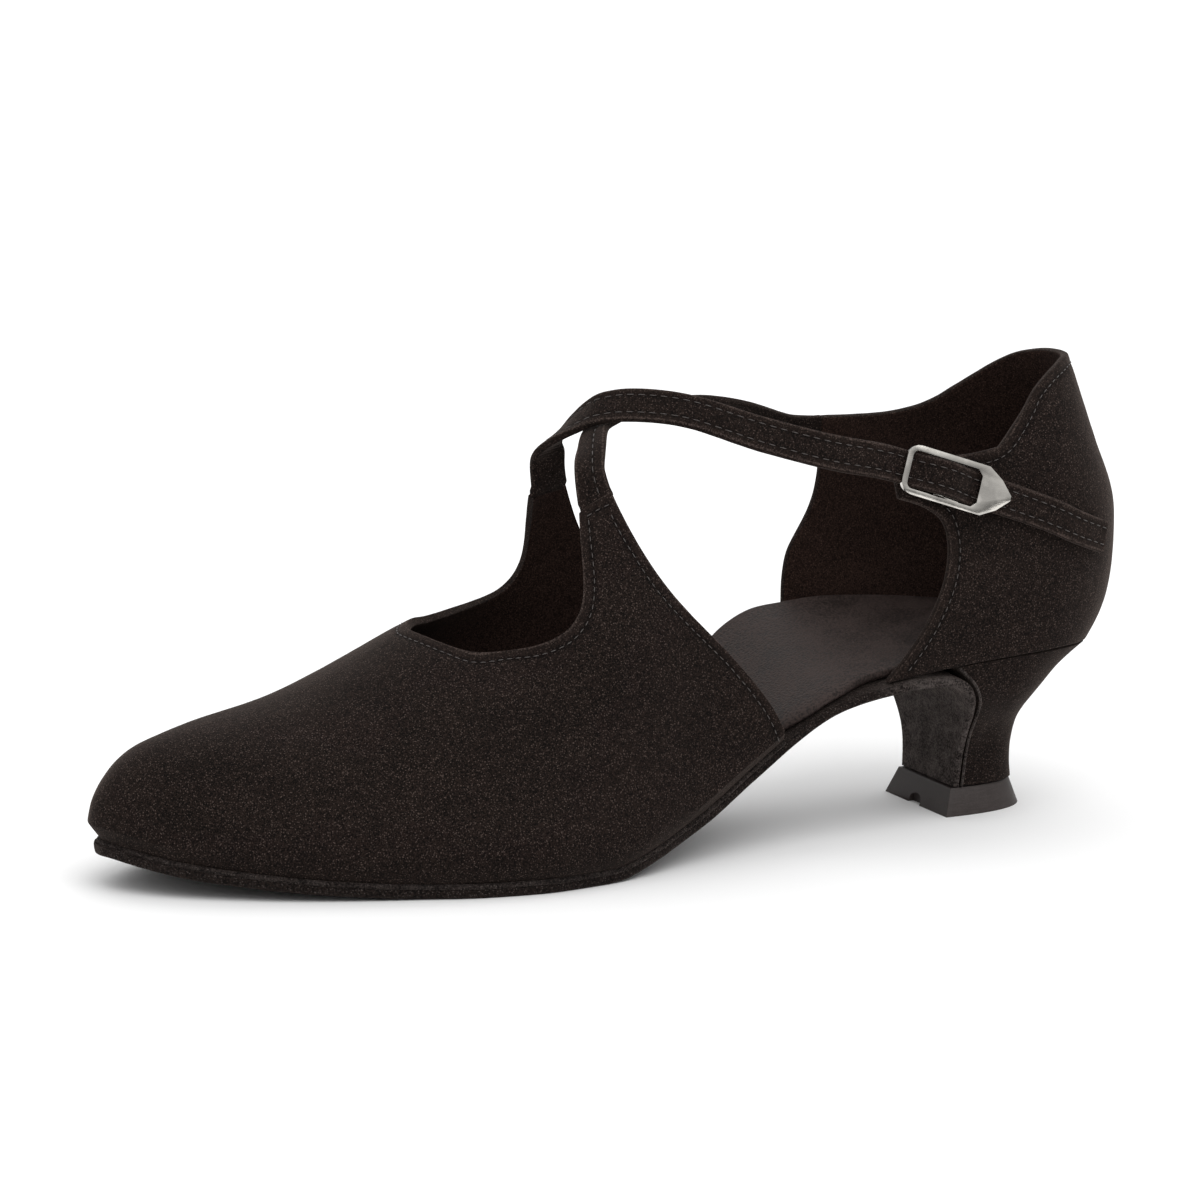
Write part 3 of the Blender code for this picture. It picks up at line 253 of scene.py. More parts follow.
@dataclass(frozen=True)
class SmoothLeather:
    """Finished leather with a fine grain and a soft sheen."""
    name: str
    dark: Colour
    light: Colour
    rough: float = 0.60
    pore: float = 0.62 * MM
    patch: float = 9.0 * MM
    grit: float = 0.5 * MM
    relief: float = 0.16 * MM

    def material(self) -> bpy.types.Material:
        """Make the material."""
        maker = Maker(self.name)
        spot = maker.place()
        pores = maker.pebbles(spot, self.pore)
        worn = maker.grain(spot, self.patch, 3.0, 0.55)
        dust = maker.grain(spot, self.grit, 2.0, 0.6)
        share = maker.ramp(worn * 0.30 + dust * 0.50 + pores * 0.2, 0.40, 0.56)
        maker.bump(pores * 0.6 + dust * 0.4, self.relief)
        maker.surface(maker.mix(self.dark, self.light, share), share * 0.12 + self.rough,
                      Specular_IOR_Level=0.22)
        return maker.material


@dataclass(frozen=True)
class MouldedPlastic:
    """Satin plastic with faint scuffs."""
    name: str
    dark: Colour
    light: Colour
    scuff: float = 2.2 * MM
    pit: float = 0.35 * MM
    relief: float = 0.05 * MM

    def material(self) -> bpy.types.Material:
        """Make the material."""
        maker = Maker(self.name)
        scuffs = maker.grain(maker.place((1.0, 1.0, 6.0)), self.scuff, 4.0, 0.6)
        pits = maker.grain(maker.place(), self.pit, 2.0, 0.6)
        share = maker.ramp(scuffs * 0.6 + pits * 0.4, 0.35, 0.7)
        maker.bump(scuffs * 0.5 + pits * 0.5, self.relief)
        maker.surface(maker.mix(self.dark, self.light, share), share * 0.15 + 0.45,
                      Specular_IOR_Level=0.35)
        return maker.material


@dataclass(frozen=True)
class PolishedNickel:
    """Bright plating with fine rubbing marks."""
    name: str
    colour: Colour
    mark: float = 0.8 * MM
    cloud: float = 5.0 * MM
    relief: float = 0.012 * MM

    def material(self) -> bpy.types.Material:
        """Make the material."""
        maker = Maker(self.name)
        rub = maker.grain(maker.place((1.0, 1.0, 5.0)), self.mark, 3.0, 0.6)
        haze = maker.ramp(maker.grain(maker.place(), self.cloud), 0.40, 0.60)
        tone = maker.mix(shaded(self.colour, 0.72), self.colour, haze)
        maker.bump(rub, self.relief)
        maker.surface(tone, rub * 0.10 + 0.07, Metallic=1.0)
        return maker.material


@dataclass(frozen=True)
class Thread:
    """Spun sewing thread."""
    name: str
    colour: Colour
    ply: float = 0.22 * MM
    relief: float = 0.05 * MM

    def material(self) -> bpy.types.Material:
        """Make the material."""
        maker = Maker(self.name)
        twist = maker.grain(maker.place(), self.ply)
        shade = maker.mix(shaded(self.colour, 0.6), self.colour, twist)
        maker.bump(twist, self.relief)
        maker.surface(shade, 0.6, Sheen_Weight=0.2)
        return maker.material


class Finish(Enum):
    """The finishes of the shoe."""
    UPPER = Suede("upper_suede", (0.0022, 0.0013, 0.0010), (0.0158, 0.0098, 0.0078))
    BREAST = Suede("breast_suede", (0.0022, 0.0014, 0.0012), (0.0175, 0.0118, 0.0100),
                   salt=(0.122, 0.104, 0.097), nap=0.45 * MM, relief=0.30 * MM)
    LINING = Suede("lining_suede", (0.0075, 0.0035, 0.0025), (0.0300, 0.0165, 0.0125),
                   salt=(0.085, 0.052, 0.042), relief=0.06 * MM, sheen=0.04, contrast=0.10)
    SOCK = SmoothLeather("sock_leather", (0.0115, 0.0070, 0.0058), (0.0370, 0.0250, 0.0220))
    LIFT = MouldedPlastic("lift_plastic", (0.0300, 0.0225, 0.0205), (0.0500, 0.0395, 0.0370))
    NICKEL = PolishedNickel("nickel", (0.74, 0.71, 0.66))
    THREAD = Thread("thread", (0.0560, 0.0440, 0.0390))


class Palette:
    """Makes each finish's material once."""

    made: dict[Finish, bpy.types.Material] = {}

    @classmethod
    def get(cls, finish: Finish) -> bpy.types.Material:
        """Material of a finish."""
        if finish not in cls.made:
            cls.made[finish] = finish.value.material()
        return cls.made[finish]


class Spot(NamedTuple):
    """A point of a cut edge: place, outward normal and the way into the face."""
    place: Vector
    normal: Vector
    inward: Vector


Side = list[Spot]


@dataclass
class Cage:
    """A solid of the frame, merged into quads, with its smooth regions.

    Points within weld become one, and triangles become quads up to the angles flat and square.
    An edge that turns more than sharp parts two regions.
    """
    node: str
    sharp: float = math.radians(38.0)
    weld: float = 0.001 * MM
    flat: float = math.radians(30.0)
    square: float = math.radians(170.0)
    work: bmesh.types.BMesh = field(init=False)
    regions: list[list[bmesh.types.BMFace]] = field(init=False)

    def __post_init__(self) -> None:
        """Merge the node's triangles and find its regions, largest first."""
        self.work = bmesh.new()
        self.work.from_mesh(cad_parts[self.node].data)
        bmesh.ops.remove_doubles(self.work, verts=self.work.verts[:], dist=self.weld)
        bmesh.ops.join_triangles(self.work, faces=self.work.faces[:],
                                 angle_face_threshold=self.flat,
                                 angle_shape_threshold=self.square)
        self.work.faces.ensure_lookup_table()
        self.work.normal_update()
        left = set(self.work.faces)
        self.regions = []
        while left:
            self.regions.append(self.flood(min(left, key=lambda face: face.index), left))
        self.regions.sort(key=lambda faces: -sum(face.calc_area() for face in faces))

    def flood(self, seed: bmesh.types.BMFace, left: set) -> list[bmesh.types.BMFace]:
        """Take the faces that join the seed with no sharp edge between them.

        Args:
            seed: face to start from.
            left: faces not yet taken; the region is taken out of it.

        Returns:
            The region's faces.
        """
        left.discard(seed)
        region, queue = [seed], [seed]
        while queue:
            face = queue.pop()
            for edge in face.edges:
                if len(edge.link_faces) != 2 or edge.calc_face_angle(0.0) > self.sharp:
                    continue
                for other in edge.link_faces:
                    if other in left:
                        left.discard(other)
                        region.append(other)
                        queue.append(other)
        return region

    def sides(self, region: list[bmesh.types.BMFace], corner: float) -> list[Side]:
        """Sides of a region's border, split where it turns sharply.

        Args:
            region: faces of the region.
            corner: smallest turn of a corner, in radians.

        Returns:
            Sides, each a list of spots in order.
        """
        inside = set(region)
        links: dict = {}
        for face in region:
            for edge in face.edges:
                if sum(other in inside for other in edge.link_faces) == 1:
                    for vert in edge.verts:
                        links.setdefault(vert, []).append((edge, face))
        found: list[Side] = []
        left = set(links)
        while left:
            start = min(left, key=lambda vert: vert.index)
            ring, here, came = [], start, None
            while here in left:
                left.discard(here)
                ring.append(here)
                step = [edge for edge, _ in links[here] if edge is not came
                        and edge.other_vert(here) in left]
                if not step:
                    break
                came = step[0]
                here = came.other_vert(here)
            found += self.split([self.spot(vert, links[vert], inside) for vert in ring], corner)
        return found

    @staticmethod
    def spot(vert: bmesh.types.BMVert, links: list, inside: set) -> Spot:
        """Spot at a vertex of a region's border."""
        normal = sum((face.normal for face in vert.link_faces if face in inside), Vector())
        inward = Vector()
        for edge, face in links:
            along = (edge.verts[1].co - edge.verts[0].co).normalized()
            toward = face.calc_center_median() - edge.verts[0].co
            inward += (toward - along * toward.dot(along)).normalized()
        return Spot(vert.co.copy(), normal.normalized(), inward.normalized())

    @staticmethod
    def split(ring: Side, corner: float) -> list[Side]:
        """Cut a closed ring of spots at its corners; a corner belongs to both sides."""
        count = len(ring)
        turns = []
        for i, spot in enumerate(ring):
            before = spot.place - ring[i - 1].place
            after = ring[(i + 1) % count].place - spot.place
            if before.length > 0.0 and after.length > 0.0 and before.angle(after) > corner:
                turns.append(i)
        if len(turns) < 2:
            return [[*ring, ring[0]]]
        sides = []
        for first, last in zip(turns, [*turns[1:], turns[0] + count]):
            sides.append([ring[i % count] for i in range(first, last + 1)])
        return sides


def dense(side: Side, step: float) -> Side:
    """Spots along a smooth curve through a side, about step apart."""
    out: Side = []
    last = len(side) - 1
    for i in range(last):
        a, b = side[i], side[i + 1]
        before, after = side[max(i - 1, 0)], side[min(i + 2, last)]
        gap = (b.place - a.place).length
        pieces = max(1, round(gap / step))
        lean_a = (b.place - before.place).normalized() * gap
        lean_b = (after.place - a.place).normalized() * gap
        for k in range(pieces):
            t = k / pieces
            place = ((2 * t ** 3 - 3 * t ** 2 + 1) * a.place + (3 * t ** 2 - 2 * t ** 3) * b.place
                     + (t ** 3 - 2 * t ** 2 + t) * lean_a + (t ** 3 - t ** 2) * lean_b)
            out.append(Spot(place, a.normal.lerp(b.normal, t), a.inward.lerp(b.inward, t)))
    out.append(side[-1])
    return out


def shifted(side: Side, step: float, shift: tuple[float, float]) -> list[Vector]:
    """Points about step apart along a side, shifted along its normal and into the face."""
    outward, inward = shift
    return [spot.place + spot.normal * outward + spot.inward * inward
            for spot in dense(side, step)]


def smoothed(cage: Cage, name: str, rounding: float, levels: int) -> bpy.types.Object:
    """Piece from a cage, with its edges rounded and its faces subdivided.

    Args:
        cage: the merged solid.
        name: name of the piece.
        rounding: width of the rounding along sharp edges, in metres.
        levels: subdivision levels.

    Returns:
        The piece, with its modifiers applied.
    """
    mesh = bpy.data.meshes.new(name)
    cage.work.to_mesh(mesh)
    rough = bpy.data.objects.new(name + "_cage", mesh)
    bpy.context.scene.collection.objects.link(rough)
    bevel = rough.modifiers.new("rounding", "BEVEL")
    bevel.limit_method = "ANGLE"
    bevel.angle_limit = cage.sharp
    bevel.width = rounding
    bevel.segments = 2 if levels else 3
    if levels:
        finer = rough.modifiers.new("finer", "SUBSURF")
        finer.levels = finer.render_levels = levels
    return baked(rough, name)


def baked(rough: bpy.types.Object, name: str) -> bpy.types.Object:
    """Plain object with the mesh that another's modifiers give; the other is removed."""
    bpy.context.view_layer.update()
    graph = bpy.context.evaluated_depsgraph_get()
    mesh = bpy.data.meshes.new_from_object(rough.evaluated_get(graph))
    mesh.name = name
    bpy.data.objects.remove(rough, do_unlink=True)
    piece = bpy.data.objects.new(name, mesh)
    bpy.context.scene.collection.objects.link(piece)
    mesh.shade_smooth()
    return piece


def place_on_shoe(piece: bpy.types.Object, slot: str, *nodes: str) -> None:
    """Tie a finished piece to the shoe's body and hide the nodes it stands for."""
    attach(piece, BODY)
    if nodes:
        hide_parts(*nodes)
    LOG.info("%s: %d faces", piece.name, len(piece.data.polygons))


@dataclass
class StitchTree:
    """Geometry Nodes tree that sews stitches along the edges of a mesh."""
    width: float = 0.24 * MM
    height: float = 0.22 * MM
    filled: float = 0.68
    sunk: float = 0.02 * MM
    segments: int = 8
    rings: int = 5
    tree: bpy.types.NodeTree = field(init=False)

    def __post_init__(self) -> None:
        """Build the tree with its named inputs."""
        self.tree = bpy.data.node_groups.new("stitches", "GeometryNodeTree")
        face = self.tree.interface
        face.new_socket("Geometry", in_out="INPUT", socket_type="NodeSocketGeometry")
        for name in ("Pitch", "Length", "Width", "Height"):
            face.new_socket(name, in_out="INPUT", socket_type="NodeSocketFloat")
        face.new_socket("Material", in_out="INPUT", socket_type="NodeSocketMaterial")
        face.new_socket("Geometry", in_out="OUTPUT", socket_type="NodeSocketGeometry")
        add = self.tree.nodes.new
        link = self.tree.links.new
        given, result = add("NodeGroupInput"), add("NodeGroupOutput")
        curve, spaced = add("GeometryNodeMeshToCurve"), add("GeometryNodeResampleCurve")
        bead, size = add("GeometryNodeMeshUVSphere"), add("ShaderNodeCombineXYZ")
        shaped, sewn = add("GeometryNodeTransform"), add("GeometryNodeInstanceOnPoints")
        up, along, turn = (add("GeometryNodeInputNamedAttribute"), add("GeometryNodeInputTangent"),
                           add("FunctionNodeAxesToRotation"))
        real, finish = add("GeometryNodeRealizeInstances"), add("GeometryNodeSetMaterial")
        spaced.mode = "LENGTH"
        bead.inputs["Segments"].default_value = self.segments
        bead.inputs["Rings"].default_value = self.rings
        bead.inputs["Radius"].default_value = 0.5
        up.data_type = "FLOAT_VECTOR"
        up.inputs["Name"].default_value = "up"
        turn.primary_axis, turn.secondary_axis = "X", "Z"
        link(given.outputs["Geometry"], curve.inputs[0])
        link(curve.outputs[0], spaced.inputs["Curve"])
        link(given.outputs["Pitch"], spaced.inputs["Length"])
        for axis, name in zip("XYZ", ("Length", "Width", "Height")):
            link(given.outputs[name], size.inputs[axis])
        link(bead.outputs["Mesh"], shaped.inputs["Geometry"])
        link(size.outputs[0], shaped.inputs["Scale"])
        link(spaced.outputs[0], sewn.inputs["Points"])
        link(shaped.outputs[0], sewn.inputs["Instance"])
        link(along.outputs[0], turn.inputs["Primary Axis"])
        link(up.outputs[0], turn.inputs["Secondary Axis"])
        link(turn.outputs[0], sewn.inputs["Rotation"])
        link(sewn.outputs[0], real.inputs[0])
        link(real.outputs[0], finish.inputs["Geometry"])
        link(given.outputs["Material"], finish.inputs["Material"])
        link(finish.outputs[0], result.inputs[0])

    def sew(self, name: str, runs: list[Side], pitch: float) -> bpy.types.Object:
        """Stitches along runs of spots.

        Args:
            name: name of the piece.
            runs: rows of spots on the surface.
            pitch: distance from stitch to stitch, in metres.

        Returns:
            One mesh piece with every stitch.
        """
        points, edges, ups = [], [], []
        for run in runs:
            for k, spot in enumerate(run):
                if k:
                    edges.append((len(points) - 1, len(points)))
                points.append(spot.place - spot.normal * self.sunk)
                ups.append(spot.normal)
        mesh = bpy.data.meshes.new(name)
        mesh.from_pydata(points, edges, [])
        stored = mesh.attributes.new("up", "FLOAT_VECTOR", "POINT")
        stored.data.foreach_set("vector", [part for up in ups for part in up])
        row = bpy.data.objects.new(name + "_rows", mesh)
        bpy.context.scene.collection.objects.link(row)
        sewing = row.modifiers.new("sewing", "NODES")
        sewing.node_group = self.tree
        values = {"Pitch": pitch, "Length": pitch * self.filled, "Width": self.width,
                  "Height": self.height, "Material": Palette.get(Finish.THREAD)}
        for item in self.tree.interface.items_tree:
            if item.in_out == "INPUT" and item.name in values:
                sewing[item.identifier] = values[item.name]
        return baked(row, name)


def offset_runs(sides: Iterable[Side], border: list[Side], distance: float,
                skin: BVHTree) -> list[Side]:
    """Rows of spots that keep a distance from a region's border, on the finished surface.

    A row leaves out spots that come too near another side or land on a face that looks the
    other way. It is cut in two where it jumps, and a very short row is dropped.

    Args:
        sides: sides that the rows follow.
        border: every side of the region; the rows keep clear of all of them.
        distance: how far inside the rows run, in metres.
        skin: tree of the finished surface.

    Returns:
        Rows of spots.
    """
    rim = [spot.place for side in border for spot in dense(side, ROW_STEP)]
    near = KDTree(len(rim))
    for k, place in enumerate(rim):
        near.insert(place, k)
    near.balance()
    runs: list[Side] = []
    for side in sides:
        run: Side = []
        for spot in dense(side, ROW_STEP):
            inward = (spot.inward - spot.normal * spot.inward.dot(spot.normal)).normalized()
            place, normal, _, _ = skin.find_nearest(spot.place + inward * distance)
            if normal.dot(spot.normal) < FACING or near.find(place)[2] < CLEARANCE * distance:
                continue
            if run and (place - run[-1].place).length > ROW_JUMP:
                runs.append(run)
                run = []
            run.append(Spot(place, normal.copy(), inward))
        runs.append(run)
    return [run for run in runs if len(run) > SHORTEST_ROW]


def nearness(mesh: bpy.types.Mesh, name: str, sides: Iterable[Side],
             reach: float) -> list[float]:
    """Store how near each point is to rows of spots: 1 on them, 0 at reach and beyond.

    Args:
        mesh: the mesh to mark.
        name: name of the stored value.
        sides: rows of spots.
        reach: distance in metres at which the value ends.

    Returns:
        The value of every point.
    """
    spots = [spot.place for side in sides for spot in side]
    near = KDTree(max(len(spots), 1))
    for k, place in enumerate(spots):
        near.insert(place, k)
    near.balance()
    values = [max(1.0 - near.find(vert.co)[2] / reach, 0.0) if spots else 0.0
              for vert in mesh.vertices]
    mesh.attributes.new(name, "FLOAT", "POINT").data.foreach_set("value", values)
    return values


def press_rows(piece: bpy.types.Object, runs: Iterable[Side] = (), border: Iterable[Side] = (),
               depth: float = 0.0, reach: float = MM) -> None:
    """Wave a piece's surface a little, sink it along its stitches and mark its cut edges.

    Args:
        piece: the piece.
        runs: rows of stitches.
        border: its cut edges.
        depth: how deep the furrow is, in metres.
        reach: half its width, in metres.
    """
    mesh = piece.data
    seams = nearness(mesh, "seam", runs, reach)
    nearness(mesh, "rim", [dense(side, 0.5 * MM) for side in border], RIM_WIDTH)
    normals = [vert.normal.copy() for vert in mesh.vertices]
    for vert, normal, share in zip(mesh.vertices, normals, seams):
        wave = sum(noise.noise(vert.co * rate) * height for rate, height in WAVES)
        vert.co += normal * (wave - depth * share * share * (3.0 - 2.0 * share))


def tuck(piece: bpy.types.Object, caps: list[list[bmesh.types.BMFace]], depth: float,
         across: float = 7.0 * MM, behind: float = 0.6 * MM) -> None:
    """Push a strap's sewn ends a little way under what they are sewn to.

    Args:
        piece: the strap.
        caps: the faces that close each end.
        depth: how far they are pushed, in metres.
        across: how far from a cap's middle its points lie at most, in metres.
        behind: how far behind the cap points still move with it, in metres.
    """
    for cap in caps:
        centre = sum((face.calc_center_median() for face in cap), Vector()) / len(cap)
        out = sum((face.normal * face.calc_area() for face in cap), Vector()).normalized()
        for vert in piece.data.vertices:
            away = vert.co - centre
            if away.length < across and away.dot(out) > -behind:
                vert.co += out * depth


def thinned(piece: bpy.types.Object, most: int = 190_000) -> bpy.types.Object:
    """Join a piece's flattest faces where it has too many.

    Args:
        piece: the finished piece.
        most: how many triangles it may keep.

    Returns:
        The same piece, or a thinner one of the same name.
    """
    count = sum(len(face.vertices) - 2 for face in piece.data.polygons)
    if count <= most:
        return piece
    name = piece.name
    piece.name = name + "_dense"
    piece.modifiers.new("less", "DECIMATE").ratio = most / count
    return baked(piece, name)


def cord(name: str, runs: list[list[Vector]], radius: float, raised: float) -> bpy.types.Object:
    """Round suede edging along runs of points.

    Args:
        name: name of the piece.
        runs: the points of each length of edging.
        radius: half its thickness, in metres.
        raised: how pale and hairy its nap is, from 0 to 1.

    Returns:
        One mesh piece with every length.
    """
    curve = bpy.data.curves.new(name, "CURVE")
    curve.dimensions = "3D"
    curve.bevel_depth = radius
    curve.bevel_resolution = 3
    curve.use_fill_caps = True
    for run in runs:
        line = curve.splines.new("POLY")
        line.points.add(len(run) - 1)
        for point, place in zip(line.points, run):
            point.co = (*place, 1.0)
    rough = bpy.data.objects.new(name + "_line", curve)
    bpy.context.scene.collection.objects.link(rough)
    piece = baked(rough, name)
    piece.data.materials.clear()
    stored = piece.data.attributes.new("raised", "FLOAT", "POINT")
    stored.data.foreach_set("value", [raised] * len(piece.data.vertices))
    piece.data.materials.append(Palette.get(Finish.BREAST))
    return piece


def skin_of(piece: bpy.types.Object) -> BVHTree:
    """Tree of a piece's surface."""
    return BVHTree.FromObject(piece, bpy.context.evaluated_depsgraph_get())


def middle(side: Side) -> Vector:
    """Mean place of a side."""
    return sum((spot.place for spot in side), Vector()) / len(side)


def length(side: Side) -> float:
    """Length of a side."""
    return sum((b.place - a.place).length for a, b in zip(side, side[1:]))


@dataclass
class Upper:
    """Vamp and quarter: suede outside, darker lining inside, sewn along their cut edges."""
    sewing: StitchTree
    levels: int = 3
    rounding: float = 0.55 * MM
    margin: float = 2.3 * MM
    pitch: float = 1.95 * MM
    furrow: tuple[float, float] = (0.20 * MM, 1.0 * MM)

    def build(self) -> None:
        """Make both shells with their stitches; the edge that is lasted under has none."""
        for node in ("vamp", "quarter"):
            cage = Cage(node)
            outer, inner = cage.regions[:2]
            for face in inner:
                face.material_index = 1
            piece = smoothed(cage, node + "_suede", self.rounding, self.levels)
            border = cage.sides(outer, CORNER)
            feather = max(border, key=length)
            cut = [side for side in border if side is not feather]
            runs = offset_runs(cut, border, self.margin, skin_of(piece))
            press_rows(piece, runs, cut, *self.furrow)
            for finish in (Finish.UPPER, Finish.LINING):
                piece.data.materials.append(Palette.get(finish))
            place_on_shoe(thinned(piece), "upper_suede", node)
            thread = self.sewing.sew(node + "_stitches", runs, self.pitch)
            place_on_shoe(thread, "upper_suede")


@dataclass
class Straps:
    """Both straps: the instep strap sewn along both edges, the cross strap along its rear one."""
    sewing: StitchTree
    margin: float = 1.5 * MM
    inner_margin: float = 2.3 * MM
    rounding: float = 0.3 * MM
    levels: int = 3
    pitch: float = 2.5 * MM
    furrow: tuple[float, float] = (0.15 * MM, 0.8 * MM)
    tucked: float = 1.1 * MM
    widest_end: float = 15.0 * MM
    crease: float = math.radians(30.0)
    square: float = math.radians(50.0)
    foot: tuple[float, float, float] = (-0.05, 0.0, 0.05)

    def build(self) -> None:
        """Make both straps; one end of the instep strap is sewn down, both of the cross strap."""
        for node, sewn_ends in (("instep_strap", 1), ("cross_strap", 2)):
            cage = Cage(node, sharp=self.crease)
            outer = max(cage.regions[:2], key=self.outwardness)
            border = cage.sides(outer, self.square)
            piece = smoothed(cage, node + "_suede", self.rounding, self.levels)
            ends = sorted((side for side in border if length(side) < self.widest_end),
                          key=lambda side: middle(side).x)[:sewn_ends]
            cut = [side for side in border if side not in ends]
            sewn, margin = cut, self.margin
            if sewn_ends == 2:
                sewn, margin = [max(cut, key=lambda side: middle(side).x)], self.inner_margin
            runs = offset_runs(sewn, sewn, margin, skin_of(piece))
            blunt = Cage(node, sharp=self.square)
            caps = sorted(blunt.regions[1:3], key=lambda faces: faces[0].calc_center_median().x)
            tuck(piece, caps[:sewn_ends], self.tucked)
            press_rows(piece, runs, cut, *self.furrow)
            piece.data.materials.append(Palette.get(Finish.UPPER))
            place_on_shoe(thinned(piece), "upper_suede", node)
            thread = self.sewing.sew(node + "_stitches", runs, self.pitch)
            place_on_shoe(thread, "upper_suede")

    def outwardness(self, faces: list[bmesh.types.BMFace]) -> float:
        """How far a region looks away from the foot."""
        heart = Vector(self.foot)
        return sum(face.normal.dot(face.calc_center_median() - heart) for face in faces)


class Part(NamedTuple):
    """How one solid is dressed: its slot, finish, width of rounding and subdivision levels."""
    node: str
    slot: str
    finish: Finish
    rounding: float
    levels: int

    def shaped(self) -> bpy.types.Object:
        """The solid with its rounded edges."""
        return smoothed(Cage(self.node), self.node + "_piece", self.rounding, self.levels)


@dataclass
class Bottom:
    """Sole, sock, heel and top lift, with the thin trim on their joints."""
    parts: tuple[Part, ...] = (
        Part("outsole", "sole_suede", Finish.BREAST, 0.14 * MM, 2),
        Part("insole", "sock_leather", Finish.SOCK, 0.4 * MM, 2),
        Part("heel", "heel_suede", Finish.UPPER, 0.22 * MM, 3),
        Part("top_lift", "lift_plastic", Finish.LIFT, 0.3 * MM, 0))
    breast_start: float = -38.0 * MM
    breast_full: float = -22.0 * MM
    notch: tuple[float, float, float] = (2.7 * MM, 2.4 * MM, 1.5 * MM)
    arch_steps: int = 12
    welt_radius: float = 0.65 * MM
    welt_shift: tuple[float, float] = (0.35 * MM, 0.4 * MM)
    welt_nap: float = 0.3
    edging_radius: float = 0.32 * MM
    edging_shift: tuple[float, float] = (0.12 * MM, -0.08 * MM)
    edging_corner: float = math.radians(60.0)
    narrowest_front: float = 6.0 * MM

    def build(self) -> None:
        """Make each piece of the bottom."""
        for part in self.parts:
            piece = part.shaped()
            if part.finish is Finish.BREAST:
                self.raise_nap(piece)
            if part.finish in (Finish.BREAST, Finish.UPPER):
                press_rows(piece)
            if part.finish is Finish.LIFT:
                piece = self.notched(piece)
            piece.data.materials.append(Palette.get(part.finish))
            place_on_shoe(piece, part.slot, part.node)
        place_on_shoe(self.welt(), "sole_suede")
        place_on_shoe(self.breast_joint(), "sole_suede")

    def raise_nap(self, piece: bpy.types.Object) -> None:
        """Mark where the sole's suede turns paler and hairier, on its way down the breast."""
        reach = self.breast_full - self.breast_start
        shares = [min(max((vert.co.x - self.breast_start) / reach, 0.0), 1.0)
                  for vert in piece.data.vertices]
        stored = piece.data.attributes.new("raised", "FLOAT", "POINT")
        stored.data.foreach_set("value", shares)

    def notched(self, piece: bpy.types.Object) -> bpy.types.Object:
        """Cut the small arched notch into the foot of the lift's front face."""
        half, rise, depth = self.notch
        low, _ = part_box("top_lift")
        work = bmesh.new()
        arch = [(math.cos(turn) * half, (math.sin(turn) * 0.6 + 0.4) * rise)
                for turn in (math.pi * k / self.arch_steps for k in range(self.arch_steps + 1))]
        outline = [(-half, -MM), *reversed(arch), (half, -MM)]
        near, far = ([work.verts.new((x, y + MM, z)) for y, z in outline]
                     for x in (low[0] - MM, low[0] + depth))
        work.faces.new(near)
        work.faces.new(list(reversed(far)))
        for k in range(len(outline)):
            after = (k + 1) % len(outline)
            work.faces.new((near[k], far[k], far[after], near[after]))
        bmesh.ops.recalc_face_normals(work, faces=work.faces[:])
        mesh = bpy.data.meshes.new("notch")
        work.to_mesh(mesh)
        cutter = bpy.data.objects.new("notch", mesh)
        bpy.context.scene.collection.objects.link(cutter)
        cut = piece.modifiers.new("notch", "BOOLEAN")
        cut.operation, cut.solver, cut.object = "DIFFERENCE", "EXACT", cutter
        name = piece.name
        piece.name = name + "_plain"
        made = baked(piece, name)
        made.data.set_sharp_from_angle(angle=math.radians(30.0))
        bpy.data.objects.remove(cutter, do_unlink=True)
        return made

    def welt(self) -> bpy.types.Object:
        """Thin cord in the groove between the upper and the sole."""
        cage = Cage("vamp")
        feather = max(cage.sides(cage.regions[0], CORNER), key=length)
        run = shifted(feather, 1.5 * MM, self.welt_shift)
        return cord("welt_cord", [run], self.welt_radius, self.welt_nap)

    def breast_joint(self) -> bpy.types.Object:
        """Fine pale edging along the joint between the sole's flap and the sides of the heel."""
        cage = Cage("heel")
        front = min(cage.regions,
                    key=lambda faces: sum(face.normal.x * face.calc_area() for face in faces))
        runs = [shifted(side, MM, self.edging_shift)
                for side in cage.sides(front, self.edging_corner)
                if abs(middle(side).y) > self.narrowest_front]
        return cord("breast_joint", runs, self.edging_radius, 1.0)


@dataclass
class Buckle:
    """Cast frame, prong and the suede keeper."""
    parts: tuple[Part, ...] = (
        Part("buckle_frame", "nickel", Finish.NICKEL, 0.55 * MM, 0),
        Part("buckle_prong", "nickel", Finish.NICKEL, 0.1 * MM, 1),
        Part("buckle_keeper", "upper_suede", Finish.UPPER, 0.12 * MM, 1))
    crease: float = math.radians(50.0)

    def build(self) -> None:
        """Make each piece of the buckle."""
        for part in self.parts:
            piece = part.shaped()
            piece.data.set_sharp_from_angle(angle=self.crease)
            if part.finish is Finish.UPPER:
                press_rows(piece)
            piece.data.materials.append(Palette.get(part.finish))
            place_on_shoe(piece, part.slot, part.node)


